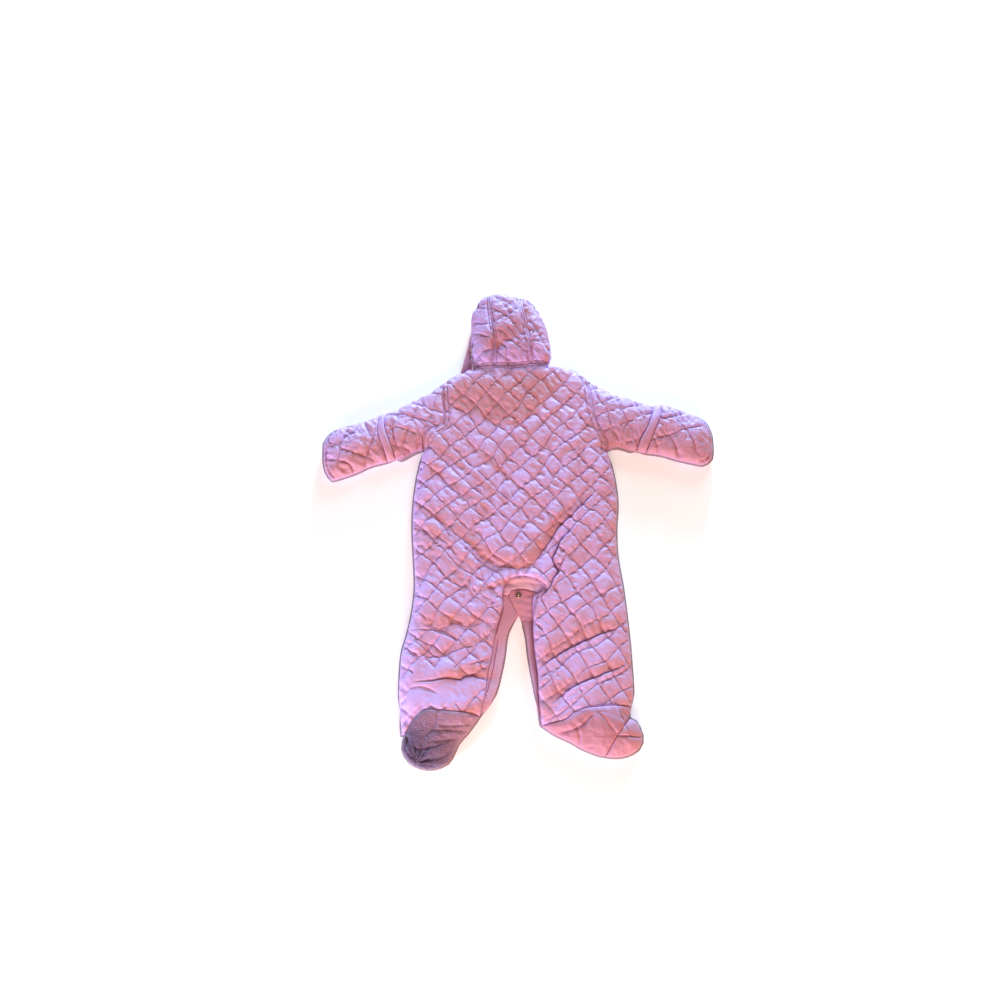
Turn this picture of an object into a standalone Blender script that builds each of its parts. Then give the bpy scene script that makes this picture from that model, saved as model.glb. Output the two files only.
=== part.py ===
"""Baby snowsuit in diamond-quilted satin, laid flat on its front, back upwards.

Lengths in the tables are millimetres. The plan (x to the right seen from above, y to the
hood) is drawn piece by piece as named seam curves; two pieces that are sewn together
share one curve, and each is held back from it by half of SEAM_GAP. Every piece is one
thick wall of cloth: an outer face that carries the quilting and folds, and a plain
inner face, joined by a rim round its cut edge.
"""
import math
from collections import namedtuple

import bmesh
import bpy
import numpy as np
from mathutils import Matrix, Vector
from mathutils.geometry import delaunay_2d_cdt

Section = namedtuple("Section", "y left right")
Edge = namedtuple("Edge", "height radius")
Fold = namedtuple("Fold", "depth lift points")
Bulge = namedtuple("Bulge", "x y radius rise")
LegTurn = namedtuple("LegTurn", "x y side angle squeeze")
Spacing = namedtuple("Spacing", "step margin")
Dome = namedtuple("Dome", "top side_round side_foot neck_round neck_foot inset")
Snap = namedtuple("Snap", "x y flange stud height")
Arm = namedtuple("Arm", "side armhole fold low under band_in band_out band_top band_low"
                        " mitt_top mitt_end mitt_low angle")

# ---------------------------------------------------------------- driving dimensions, mm
MM = 0.001
SEAM_GAP = 0.3            # between two pieces that are sewn together
LAP = 9.15                # height at which the front and the back of the suit meet
UPPER_FLOOR = LAP + SEAM_GAP / 2
UNDER_TOP = LAP - SEAM_GAP / 2
CROWN = 22.0              # top of the back above the surface that the suit lies on
FOOT_RISE = 1.5           # how much higher the feet stand
SLEEVE_CROWN = 21.0
BAND_CROWN = 22.5
MITT_CROWN = 21.5
FACING_TOP = 17.5
TONGUE_TOP = 13.5
TAPE_TOP = 12.5
FLAP_CROWN = 11.0
PEEK = 2.5                # how far the front shows beyond the back at the side seams
PEEK_FADE = 18.0          # distance from a seam over which that ledge grows
SNAP = Snap(1, -103, 4.6, 1.9, 2.8)

# quilting: the side of a diamond, and how far each of its marked points is raised
QUILT = 25.4
MITT_QUILT = 33.0
PUFF = {"crossing": -1.9, "seam": -1.5, "ring": 0.7, "centre": 1.9}

# how the outer face comes down to a cut edge: height there, and width of the round
TOP_EDGES = {
    "side": Edge(LAP + 1.2, 17.0),
    "hem": Edge(15.5, 6.0),
    "low": Edge(11.0, 3.0),
    "tab": Edge(2.5, 8.0),
}
UNDER_EDGES = {"side": Edge(LAP - 1.2, 9.0), "seam": Edge(1.2, 3.0)}
SEAM_GROOVE = Edge(-4.0, 3.5)
LEAST_ROUND = 1.5         # the face stands at least this much above the foot of its round

# the hood stands up as a hollow dome; inset is where its inner face begins
HOOD_OUTSIDE = Dome(39.0, 46.0, LAP + 1.2, 30.0, 17.0, 0.0)
HOOD_INSIDE = Dome(28.0, 40.0, UPPER_FLOOR, 26.0, UPPER_FLOOR, 8.0)
FOLD_IN = 5.0             # wall thickness where a piece is wrapped round an edge
FOLD_EASE = 22.0          # distance over which that thickness fades away

# spacing of the points of a face: along a cut edge, in rows inside it, and over the field
EDGE_STEP = 9.5
UPPER_ROW = 2.3
UNDER_ROWS = (2.0, 6.0)
PLAIN_FIELD = Spacing(11.0, 6.0)
UPPER_INSIDE = Spacing(34.0, 12.0)
UNDER_FIELD = Spacing(40.0, 13.0)
WRAPPED_INSIDE = Spacing(24.0, 13.0)
WRAPPED_UNDER_INSIDE = Spacing(30.0, 13.0)

# ---------------------------------------------------------------- tables of the body
TORSO = (
    Section(112, -149.5, 145.5),
    Section(80, -155, 151.5),
    Section(40, -158.5, 154),
    Section(0, -158.5, 150),
    Section(-43, -155, 149.5),
    Section(-90, -151.5, 155),
    Section(-128, -154, 158),
    Section(-163, -160.5, 160),
    Section(-190, -167, 161),
    Section(-240, -168, 161.5),
)
INNER_EDGE_OF_BACK = (
    Section(-142, -27, 21),
    Section(-163, -33, 21.5),
    Section(-190, -37.5, 23.5),
    Section(-215, -43, 27),
    Section(-245, -47, 28),
)
INNER_EDGE_OF_FRONT = (
    Section(-150, -11, 8.5),
    Section(-165, -16.5, 12),
    Section(-190, -19.5, 14.5),
    Section(-215, -24.5, 18.5),
    Section(-240, -31, 23),
    Section(-262, -41, 25.5),
)
BULGES = (
    Bulge(0, -35, 60, 1.5),
    Bulge(95, -120, 45, 3.0),
    Bulge(-100, -130, 45, 2.5),
    Bulge(-105, -235, 40, 3.0),
    Bulge(100, -235, 40, 3.0),
    Bulge(-10, 170, 80, 1.0),
)
# the quilting turns about the hips with each leg, and is gathered across the left one
LEG_TURNS = (LegTurn(85, -60, 1, -12, 1.0), LegTurn(-90, -60, -1, 7, 0.88))
LEG_BLEND = 45.0
# the largest folds, each from the side of the body inwards
BACK_FOLDS = (
    Fold(5.0, 1.5, ((118, 51), (98, 34), (82, 14), (63, -5), (48, -26), (33, -47), (22, -65))),
    Fold(7.0, 2.0, ((88, 3), (77, -15), (65, -33), (54, -52), (60, -70), (54, -81), (45, -96))),
    Fold(5.0, 2.0, ((150, -151), (125, -163), (97, -171), (69, -188), (46, -204), (33, -216))),
    Fold(5.0, 2.0, ((142, -207), (122, -215), (99, -226), (79, -236), (53, -253))),
    Fold(3.5, 1.5, ((-150, 27), (-127, 15), (-106, 3), (-90, -16), (-71, -31), (-50, -53))),
    Fold(2.5, 1.0, ((-149, 2), (-123, -13), (-96, -38), (-74, -60))),
    Fold(2.5, 1.0, ((-136, -39), (-104, -59), (-85, -79))),
    Fold(4.0, 2.0, ((-55, -59), (-19, -64), (17, -65))),
    Fold(3.0, 1.0, ((-134, 171), (-112, 173), (-85, 155))),
    Fold(4.0, 1.5, ((-160, -190), (-143, -195), (-109, -193), (-76, -183), (-50, -178))),
    Fold(3.5, 1.5, ((-124, -230), (-102, -225), (-74, -223), (-48, -224))),
)
SOLE_RIGHT_FOLDS = (
    Fold(3.0, 1.5, ((48, -297), (64, -296), (80, -292), (92, -283), (100, -274))),
    Fold(2.5, 1.0, ((110, -272), (118, -280), (128, -288))),
)
SOLE_LEFT_FOLDS = (
    Fold(2.0, 1.0, ((-104, -287), (-88, -286), (-74, -287))),
    Fold(3.0, 1.5, ((-140, -318), (-128, -320), (-106, -314), (-92, -310))),
)


def column(table, name):
    return [(getattr(row, name), row.y) for row in table]


def curve(points, step=EDGE_STEP):
    """Points a step apart along the smooth curve through the given points."""
    knots = np.array(points, float)
    if len(knots) > 2:
        before = 2 * knots[0] - knots[1]
        after = 2 * knots[-1] - knots[-2]
        ring = np.vstack((before, knots, after))
        t = np.linspace(0, 1, 12, endpoint=False)[:, None]
        runs = []
        for p0, p1, p2, p3 in zip(ring, ring[1:], ring[2:], ring[3:]):
            runs.append(0.5 * (2 * p1 + (p2 - p0) * t + (2 * p0 - 5 * p1 + 4 * p2 - p3) * t ** 2
                               + (3 * p1 - p0 - 3 * p2 + p3) * t ** 3))
        knots = np.vstack(runs + [knots[-1:]])
    arc = arc_length(knots)
    count = max(1, round(arc[-1] / step))
    return along(knots, arc, np.linspace(0, arc[-1], count + 1))


def arc_length(line):
    return np.concatenate(([0], np.cumsum(np.linalg.norm(np.diff(line, axis=0), axis=1))))


def along(line, arc, where):
    return np.column_stack([np.interp(where, arc, line[:, k]) for k in range(2)])


# ---------------------------------------------------------------- seam curves of the body
NECK_POINTS = ((-71, 270.5), (-36, 272.6), (-6, 272.2), (25, 276.6), (53, 278.5))
NECK = [curve(pair) for pair in zip(NECK_POINTS, NECK_POINTS[1:])]
SHOULDER_RIGHT = curve([NECK_POINTS[-1], (72, 277), (97, 269), (114, 256)])
ARMHOLE_RIGHT = curve([(114, 256), (118, 235), (120, 206), (125, 182), (133, 161), (142, 143), (142, 126)])
SIDE_RIGHT = curve([(142, 126)] + column(TORSO, "right") + [(158.5, -262)])
HEEL_RIGHT = curve([(158.5, -262), (140, -261), (121, -262), (92, -265), (76, -271), (64, -280), (31, -287)])
INNER_RIGHT = curve([(31, -287)] + column(INNER_EDGE_OF_BACK, "right")[::-1])
TONGUE_RIGHT = curve([(21, -142), (21, -124), (22, -107)])
NOTCH_LOW = curve([(22, -107), (30, -99.5)])
NOTCH_HIGH = curve([(30, -99.5), (41, -90)])
ARCH = curve([(41, -90), (30, -82), (19, -78), (6, -76.5), (-7, -78.5), (-15, -84), (-20, -91), (-22.5, -103)])
INNER_LEFT = curve([(-22.5, -103), (-22, -122)] + column(INNER_EDGE_OF_BACK, "left") + [(-54, -275)])
HEEL_LEFT = curve([(-54, -275), (-69, -271), (-108, -268), (-130, -267), (-147, -282), (-157, -300)])
HEEL_LEFT_END = curve([(-157, -300), (-162, -300)])
SIDE_LEFT_FOOT = curve([(-162, -300), (-166, -268)])
SIDE_LEFT = curve([(-166, -268)] + column(TORSO, "left")[::-1] + [(-146, 128)])
ARMHOLE_LEFT = curve([(-146, 128), (-147, 149), (-135, 160), (-119, 170), (-115, 187), (-117, 206),
                      (-119, 226), (-120, 246)])
SHOULDER_LEFT = curve([(-120, 246), (-99, 260), (-83, 267), NECK_POINTS[0]])
CENTRE_FRONT_FOOT = (1, -133)
CENTRE_FRONT = curve([CENTRE_FRONT_FOOT, (-4, -40), (-8, 120), NECK_POINTS[2]], step=30)

# ---------------------------------------------------------------- seam curves of the crotch
TONGUE_LEFT = curve([(-14, -104), (-6, -122), CENTRE_FRONT_FOOT])
TONGUE_FREE = curve([CENTRE_FRONT_FOOT, (6, -141)])
TONGUE_FOOT = curve([(6, -141), (21, -142)])
FACING_LOW = curve([(30, -99.5), (23, -97.5), (6, -93.5), (-4, -95), (-11, -97), (-14, -104)])
FACING_LEFT = curve([(-14, -104), (-22.5, -103)])
TAPE_RIGHT_FREE = curve([(6, -141)] + column(INNER_EDGE_OF_FRONT, "right"))
TAPE_RIGHT_END = curve([(25.5, -262), (29, -276), (31, -287)])
TAPE_LEFT_FREE = curve([CENTRE_FRONT_FOOT] + column(INNER_EDGE_OF_FRONT, "left"))
TAPE_LEFT_END = curve([(-41, -262), (-54, -275)])

# ---------------------------------------------------------------- seam curves of the feet
SOLE_LEFT_EDGE = curve([(-157, -300), (-160, -318), (-149, -336), (-124, -344.5), (-101, -339),
                        (-91, -328), (-84, -312), (-70, -296), (-54, -275)])
TOE_SEAM = curve([(154, -277), (134, -301), (124, -318), (118, -328)])
SOLE_RIGHT_EDGE = curve([(118, -328), (108, -326), (87, -318), (71, -309), (49, -299), (31, -287)])
TOE_EDGE = curve([(154, -277), (163, -282), (169, -294), (171, -305), (166, -317), (152, -326),
                  (134, -329.5), (118, -328)])
SOLE_RIGHT_END = curve([(158.5, -262), (155, -270), (154, -277)])
INSTEP_LEFT_TOP = curve([(-166, -268), (-110, -262), (-41, -262)], step=20)
INSTEP_RIGHT_TOP = curve([(25.5, -262), (90, -258), (158.5, -262)], step=20)

# ---------------------------------------------------------------- seam curves of the arms
ARM_RIGHT = Arm(
    side="right",
    armhole=ARMHOLE_RIGHT,
    fold=curve([(114, 256), (130, 243), (155, 229), (180, 220), (206, 211), (219, 206)]),
    low=curve([(142, 126), (152, 135), (164, 134), (176, 129), (188, 127)]),
    under=curve([(142, 126), (152, 131), (164, 130), (176, 125.5), (188, 123)]),
    band_in=curve([(219, 206), (214, 184), (204, 161), (194, 144), (188, 127)]),
    band_out=curve([(232, 207), (228, 183), (216, 157), (203, 124)]),
    band_top=curve([(219, 206), (232, 207)]),
    band_low=curve([(203, 124), (188, 127)]),
    mitt_top=curve([(232, 207), (244, 205), (269, 195), (293, 184), (304, 173), (309, 154)]),
    mitt_end=curve([(309, 154), (308.5, 130), (304, 112), (290, 104)]),
    mitt_low=curve([(290, 104), (275, 107), (251, 113), (226, 121), (203, 124)]),
    angle=-68)
ARM_LEFT = Arm(
    side="left",
    armhole=ARMHOLE_LEFT,
    fold=curve([(-120, 246), (-142, 228), (-168, 214), (-193, 198), (-206, 194)]),
    low=curve([(-146, 128), (-158, 127), (-168, 122), (-177, 115), (-189, 113)]),
    under=curve([(-146, 128), (-156, 123), (-167, 117), (-177, 110), (-189, 108.5)]),
    band_in=curve([(-206, 194), (-208, 166), (-199, 139), (-189, 113)]),
    band_out=curve([(-218, 189), (-218, 158), (-210, 134), (-202, 109)]),
    band_top=curve([(-206, 194), (-218, 189)]),
    band_low=curve([(-202, 109), (-189, 113)]),
    mitt_top=curve([(-218, 189), (-230, 182), (-255, 173), (-280, 166), (-295, 157), (-304, 141)]),
    mitt_end=curve([(-304, 141), (-302, 110), (-296, 90), (-286, 78)]),
    mitt_low=curve([(-286, 78), (-275, 81), (-251, 90), (-227, 102), (-202, 109)]),
    angle=-16)
MITT_TURN = 4             # degrees by which a mitt's quilting is turned from its sleeve's

# ---------------------------------------------------------------- seam curves of the hood
HOOD_SEAM_LEFT = curve([NECK_POINTS[1], (-35, 288), (-34, 306), (-38, 336), (-43, 370), (-45, 415)])
HOOD_SEAM_RIGHT = curve([NECK_POINTS[3], (22, 296), (21, 312), (16, 335), (12, 362), (5, 409)])
HOOD_TOP = curve([(-45, 415), (-19, 414), (5, 409)])
HOOD_SIDE_LEFT = curve([(-45, 415), (-57, 406), (-67, 391), (-74, 370), (-74, 340), (-75, 317), NECK_POINTS[0]])
HOOD_SIDE_RIGHT = curve([(5, 409), (22, 402), (34, 389), (48, 357), (57, 320), (59.5, 297), NECK_POINTS[-1]])
FACE_LEFT = curve([(-45, 394), (-53, 372), (-54, 340), (-54, 300), (-50, 271.76)])
FACE_RIGHT = curve([(5, 388), (20, 377), (31, 352), (38, 315), (38, 296), (36, 277.35)])
FACE_TOP = curve([(5, 388), (-20, 392), (-45, 394)])
UNDER_SEAM_LEFT = curve([(-45, 415), (-45, 394)])
UNDER_SEAM_RIGHT = curve([(5, 409), (5, 388)])
UNDER_NECK_LEFT = curve([(-50, 271.76), NECK_POINTS[0]])
UNDER_NECK_RIGHT = curve([(36, 277.35), NECK_POINTS[-1]])
FLAP_SEAM = HOOD_SIDE_LEFT[(HOOD_SIDE_LEFT[:, 1] < 350) & (HOOD_SIDE_LEFT[:, 1] > 273)]
FLAP = curve([FLAP_SEAM[0], (-81, 316), (-91.5, 268.5)])
FLAP_FOOT = curve([(-91.5, 268.5), (-80, 271.5), FLAP_SEAM[-1]])


# ---------------------------------------------------------------- plan geometry
class Outline:
    """A closed plan outline; kinds[i] says how the edge after point i is finished."""

    def __init__(self, *runs, peek=0.0):
        lines = end_to_end([line for _, line in runs])
        self.kinds = [kind for (kind, _), line in zip(runs, lines) for _ in line[1:]]
        self.first_run = len(lines[0]) - 1
        self.points = held_back(np.vstack([line[:-1] for line in lines]), SEAM_GAP / 2)
        if peek:
            share = ramp(self.distance(self.points, "seam") / PEEK_FADE)
            self.points = self.points - inward(self.points) * (peek * share)[:, None]

    def ends(self, kind=None):
        chosen = [i for i, name in enumerate(self.kinds) if kind in (None, name)]
        after = [(i + 1) % len(self.points) for i in chosen]
        return self.points[chosen], self.points[after]

    def distance(self, where, kind=None):
        starts, stops = self.ends(kind)
        return distance(where, starts, stops)

    def contains(self, where, margin=0.0):
        starts, stops = self.ends()
        x, y = where[:, 0:1], where[:, 1:2]
        straddles = (starts[:, 1] > y) != (stops[:, 1] > y)
        rise = np.where(stops[:, 1] == starts[:, 1], 1e-9, stops[:, 1] - starts[:, 1])
        crossing = starts[:, 0] + (y - starts[:, 1]) * (stops[:, 0] - starts[:, 0]) / rise
        odd = (straddles & (x < crossing)).sum(axis=1) % 2 == 1
        return odd & (distance(where, starts, stops) >= margin)


def end_to_end(lines):
    """The lines of a closed outline, each turned to start where the one before it ends."""
    following = lines[1][[0, -1]]
    end = max(lines[0][[0, -1]], key=lambda tip: np.linalg.norm(following - tip, axis=1).min())
    chain = []
    for line in lines:
        backwards = np.linalg.norm(line[0] - end) > np.linalg.norm(line[-1] - end)
        chain.append(line[::-1] if backwards else line)
        end = chain[-1][-1]
    return chain


def distance(where, starts, stops):
    """Distance of each point from the nearest of the straight edges."""
    run = stops - starts
    rel = where[:, None, :] - starts[None]
    t = np.clip((rel * run).sum(axis=2) / (run * run).sum(axis=1), 0, 1)
    return np.linalg.norm(rel - t[..., None] * run, axis=2).min(axis=1)


def inward(loop):
    """Unit inward normals at the points of a closed loop, lengthened at its corners."""
    following = np.roll(loop, -1, axis=0)
    area = (loop[:, 0] * following[:, 1] - loop[:, 1] * following[:, 0]).sum()
    run = following - loop
    run /= np.linalg.norm(run, axis=1)[:, None]
    side = np.sign(area) * np.column_stack((-run[:, 1], run[:, 0]))
    before = np.roll(side, 1, axis=0)
    return (side + before) / np.maximum(0.35, 1 + (side * before).sum(axis=1))[:, None]


def held_back(loop, gap):
    return loop + inward(loop) * gap


def edge_row(outline, depth):
    """Points just inside the cut edge, which give its round a profile."""
    row = held_back(outline.points, depth)
    return row[outline.contains(row, 0.9 * depth)]


def spread(outline, spacing):
    """A plain field of points inside an outline, in staggered rows."""
    low = outline.points.min(axis=0) + spacing.margin
    high = outline.points.max(axis=0)
    field = np.array([(x + (k % 2) * spacing.step / 2, y)
                      for k, y in enumerate(np.arange(low[1], high[1], spacing.step * 0.87))
                      for x in np.arange(low[0], high[0], spacing.step)]).reshape(-1, 2)
    return field[outline.contains(field, spacing.margin)]


# ---------------------------------------------------------------- quilting and folds
def ramp(value):
    value = np.clip(value, 0, 1)
    return value * value * (3 - 2 * value)


def turned(points, degrees):
    turn = math.radians(degrees)
    c, s = math.cos(turn), math.sin(turn)
    return points @ np.array([[c, s], [-s, c]])


def quilting(outline, origin, size=QUILT, angle=-45.0, lay=None, margin=5.0):
    """The marked points of each diamond inside an outline, and how far each is puffed."""
    spots = (("crossing", 0, 0), ("seam", 0.5, 0), ("seam", 0, 0.5), ("centre", 0.5, 0.5),
             ("ring", 0.3, 0.3), ("ring", 0.7, 0.3), ("ring", 0.3, 0.7), ("ring", 0.7, 0.7))
    reach = range(-26, 27)
    marks = np.array([(i + u, j + v) for i in reach for j in reach for _, u, v in spots])
    puffs = np.array([PUFF[name] for _ in reach for _ in reach for name, _, _ in spots])
    where = turned(marks * size, angle) + np.array(origin)
    if lay:
        where = lay(where)
    near = ((where > outline.points.min(axis=0)) & (where < outline.points.max(axis=0))).all(axis=1)
    where, puffs = where[near], puffs[near]
    kept = outline.contains(where, margin)
    return where[kept], puffs[kept]


def along_legs(points):
    """The quilting turns with each leg below the hip."""
    moved = points.copy()
    for leg in LEG_TURNS:
        hip = np.array([leg.x, leg.y])
        below = ramp((leg.y + LEG_BLEND - points[:, 1]) / (2 * LEG_BLEND))
        beside = ramp(leg.side * points[:, 0] / LEG_BLEND + 0.1)
        rest = points - hip
        swung = turned(rest, leg.angle) * np.array([1, leg.squeeze])
        moved += (swung - rest) * (below * beside)[:, None]
    return moved


def fold_points(outline, folds, spacing=7.5, flank=5.0, clear=3.2):
    """Points along the bottom of each fold and along both its lips, with their rise."""
    where, rise = [], []
    for fold in folds:
        line = curve(fold.points, spacing)
        run = np.gradient(line, axis=0)
        run /= np.linalg.norm(run, axis=1)[:, None]
        side = np.column_stack((-run[:, 1], run[:, 0]))
        fade = np.sqrt(np.sin(np.linspace(0.15, math.pi - 0.15, len(line))))
        for offset, height in ((0, -fold.depth), (flank, fold.lift), (-flank, fold.lift)):
            where.append(line + side * offset)
            rise.append(height * fade)
    where, rise = np.vstack(where), np.concatenate(rise)
    kept = outline.contains(where, clear)
    where, rise = where[kept], rise[kept]
    chosen = [0]
    for i in range(1, len(where)):
        if np.linalg.norm(where[chosen] - where[i], axis=1).min() > clear:
            chosen.append(i)
    return where[chosen], rise[chosen]


# ---------------------------------------------------------------- heights
def rounded(away, width, foot, top):
    """Height of a round that climbs from foot at the edge to top at width inside it."""
    u = 1 - np.minimum(away, width) / width
    return foot + (top - foot) * np.sqrt(1 - u ** 2)


def crowned(where, outline, crown):
    """Height of the smooth outer face over plan points."""
    top = crown(where)
    height = top.copy()
    for kind in sorted(set(outline.kinds) - {"plain", "dome"}):
        away = outline.distance(where, kind)
        if kind == "seam":
            height += SEAM_GROOVE.height * np.exp(-away / SEAM_GROOVE.radius)
        else:
            edge = TOP_EDGES[kind]
            foot = np.minimum(edge.height, top - LEAST_ROUND)
            height = np.minimum(height, rounded(away, edge.radius, foot, top))
    return height


def hollowed(where, outline):
    """Height of the outer face of an underside, flat on the surface but for its edges."""
    height = np.zeros(len(where))
    for kind in sorted(set(outline.kinds)):
        edge = UNDER_EDGES["seam" if kind in ("seam", "plain") else "side"]
        height = np.maximum(height, rounded(outline.distance(where, kind), edge.radius, edge.height, 0.0))
    return height


def level(height):
    return lambda where: np.full(len(where), float(height))


def body_crown(where):
    height = np.full(len(where), CROWN)
    for bulge in BULGES:
        away = np.linalg.norm(where - np.array([bulge.x, bulge.y]), axis=1)
        height += bulge.rise * np.exp(-(away / bulge.radius) ** 2)
    return height


def foot_crown(where):
    return body_crown(where) + FOOT_RISE


def dome(shape):
    """The height of one face of the hood over plan points."""
    whole = Outline(("side", HOOD_TOP), ("side", HOOD_SIDE_RIGHT), *[("neck", line) for line in NECK[::-1]],
                    ("side", HOOD_SIDE_LEFT))

    def height(where):
        side = np.maximum(0, whole.distance(where, "side") - shape.inset)
        neck = np.maximum(0, whole.distance(where, "neck") - shape.inset)
        return np.minimum(rounded(side, shape.side_round, shape.side_foot, shape.top),
                          rounded(neck, shape.neck_round, shape.neck_foot, shape.top))
    return height


# ---------------------------------------------------------------- finishes
def material(name, colour, roughness=0.6, metallic=0.0, sheen=0.0):
    found = bpy.data.materials.get(name)
    if found:
        return found
    made = bpy.data.materials.new(name)
    made.use_nodes = True
    shader = made.node_tree.nodes["Principled BSDF"]
    shader.inputs["Base Color"].default_value = (*colour, 1)
    shader.inputs["Roughness"].default_value = roughness
    shader.inputs["Metallic"].default_value = metallic
    shader.inputs["Sheen Weight"].default_value = sheen
    made.diffuse_color = (*colour, 1)
    return made


def satin():
    return material("quilted_satin", (0.76, 0.33, 0.47), 0.45, sheen=0.3)


def lining():
    return material("plain_cotton", (0.66, 0.24, 0.23), 0.8)


def ribbing():
    return material("ribbed_tape", (0.80, 0.45, 0.50), 0.85)


def velour():
    return material("velour", (0.36, 0.20, 0.27), 0.95, sheen=0.5)


def steel():
    return material("snap_metal", (0.45, 0.42, 0.38), 0.3, metallic=1.0)


# ---------------------------------------------------------------- walls of cloth
def triangles(loop, field):
    """Triangles over a loop and the points inside it, as indices into both in turn."""
    ring = list(range(len(loop)))
    edges = [(i, (i + 1) % len(loop)) for i in ring]
    points = [Vector(p) for p in np.vstack((loop, field))]
    _, _, faces, origin, _, _ = delaunay_2d_cdt(points, edges, [ring], 1, 1e-5)
    return [[origin[v][0] for v in face] for face in faces]


def wall(name, finish, loop, outer_field, outer, inner_field, inner):
    """A closed wall: outer and inner faces over one loop, and a rim between them."""
    count = len(loop)
    shift = len(outer)
    faces = triangles(loop, outer_field)
    faces += [[v + shift for v in face[::-1]] for face in triangles(loop, inner_field)]
    faces += [[i, (i + 1) % count, (i + 1) % count + shift, i + shift] for i in range(count)]
    mesh = bpy.data.meshes.new(name)
    mesh.from_pydata([tuple(p) for p in np.vstack((outer, inner)) * MM], [], faces)
    shape = bmesh.new()
    shape.from_mesh(mesh)
    bmesh.ops.triangulate(shape, faces=shape.faces)
    bmesh.ops.recalc_face_normals(shape, faces=shape.faces)
    shape.to_mesh(mesh)
    shape.free()
    mesh.materials.append(finish)
    return placed(name, mesh)


def placed(name, mesh):
    piece = bpy.data.objects.new(name, mesh)
    bpy.data.collections["baby_snowsuit"].objects.link(piece)
    return piece


def at(where, height):
    return np.column_stack((where, np.broadcast_to(height, (len(where),))))


def upper(name, finish, outline, crown, quilt=None, folds=(), floor=UPPER_FLOOR):
    """A piece of the back of the suit, which lies on the pieces of its front."""
    field = spread(outline, PLAIN_FIELD)
    lift = np.zeros(len(field))
    if quilt:
        field, lift = quilt
    if folds:
        creases, dips = fold_points(outline, folds)
        away = np.linalg.norm(field[:, None] - creases[None], axis=2).min(axis=1)
        clear = away > 4.5
        field = np.vstack((creases, field[clear]))
        lift = np.concatenate((dips, lift[clear]))
    row = edge_row(outline, UPPER_ROW)
    field = np.vstack((row, field))
    loop = outline.points
    plan = np.vstack((loop, field))
    height = crowned(plan, outline, crown)
    height[len(plan) - len(lift):] += lift
    inner_field = spread(outline, UPPER_INSIDE)
    inner = at(np.vstack((loop, inner_field)), floor)
    return wall(name, finish, loop, field, at(plan, height), inner_field, inner)


def under(name, finish, outline):
    """A piece of the front of the suit, flat on the surface, its plain face upwards."""
    inner_field = spread(outline, UNDER_FIELD)
    field = np.vstack([edge_row(outline, depth) for depth in UNDER_ROWS] + [inner_field])
    loop = outline.points
    plan = np.vstack((loop, field))
    inner = at(np.vstack((loop, inner_field)), UNDER_TOP)
    return wall(name, finish, loop, field, at(plan, hollowed(plan, outline)), inner_field, inner)


def eased(path):
    """The inner points of an open cut edge, kept a wall's thickness off its wrapped ends."""
    arc = arc_length(path)
    whole = arc[-1]

    def pushed(reach):
        return np.where(reach < FOLD_EASE, FOLD_IN + reach * (1 - FOLD_IN / FOLD_EASE), reach)

    where = np.where(arc < whole / 2, pushed(arc), whole - pushed(whole - arc))
    return along(path, arc, where)


def wrapped(name, finish, fold, top_runs, under_runs, crown, quilt, inner_top=level(UPPER_FLOOR),
            fold_kind="side"):
    """A piece that goes round the edge of the suit: its upper and its under half."""
    top = Outline((fold_kind, fold), *top_runs)
    low = Outline(("side", fold), *under_runs)
    folded = top.first_run
    fold_line = top.points[:folded + 1]
    top_path = np.vstack((top.points[folded:], top.points[:1]))
    low_path = np.vstack((fold_line[:1], low.points[folded + 1:], fold_line[-1:]))
    start = fold_line[0]
    ahead = fold_line[-1] - start
    ahead /= np.linalg.norm(ahead)
    side = np.array([-ahead[1], ahead[0]])
    if ((top_path.mean(axis=0) - start) * side).sum() < 0:
        side = -side
    reach = (fold_line - start) @ ahead
    sway = (fold_line - start) @ side

    def opened(where):
        """Plan points of the under half, laid out flat beyond the fold."""
        t = (where - start) @ ahead
        n = 2 * np.interp(t, reach, sway) - (where - start) @ side
        return start + t[:, None] * ahead + n[:, None] * side

    def off_the_fold(field):
        return field[distance(field, fold_line[:-1], fold_line[1:]) > FOLD_EASE]

    loop = np.vstack((top_path, opened(low_path)[1:-1]))
    ridge = fold_line[1:-1]
    top_row = edge_row(top, UPPER_ROW)
    where, puffs = quilt(top)
    low_field = np.vstack([edge_row(low, depth) for depth in UNDER_ROWS])
    field = np.vstack((ridge, top_row, where, opened(low_field)))
    rim_top = at(top_path, crowned(top_path, top, crown))
    rim_top[[0, -1], 2] = LAP
    outer = np.vstack((
        rim_top,
        at(low_path, hollowed(low_path, low))[1:-1],
        at(ridge, LAP),
        at(top_row, crowned(top_row, top, crown)),
        at(where, crowned(where, top, crown) + puffs),
        at(low_field, hollowed(low_field, low))))

    eased_top, eased_low = eased(top_path), eased(low_path)
    heel = (eased_top[0] + eased_low[-1]) / 2
    toe = (eased_top[-1] + eased_low[0]) / 2
    rim = at(eased_top, inner_top(eased_top))
    rim[0], rim[-1] = (*heel, LAP), (*toe, LAP)
    tuck = held_back(top.points, FOLD_IN)[1:folded]
    keep = (low.distance(tuck) > 0.9 * FOLD_IN) & (top.distance(tuck) > 0.9 * FOLD_IN)
    top_inner = off_the_fold(spread(top, WRAPPED_INSIDE))
    low_inner = off_the_fold(spread(low, WRAPPED_UNDER_INSIDE))
    inner_field = np.vstack((ridge[keep], top_inner, opened(low_inner)))
    inner = np.vstack((
        rim,
        at(eased_low, UNDER_TOP)[1:-1],
        at(tuck[keep], LAP),
        at(top_inner, inner_top(top_inner)),
        at(low_inner, UNDER_TOP)))
    return wall(name, finish, loop, field, outer, inner_field, inner)


# ---------------------------------------------------------------- the pieces
NECK_SEAMS = [("seam", line) for line in NECK]


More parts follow.
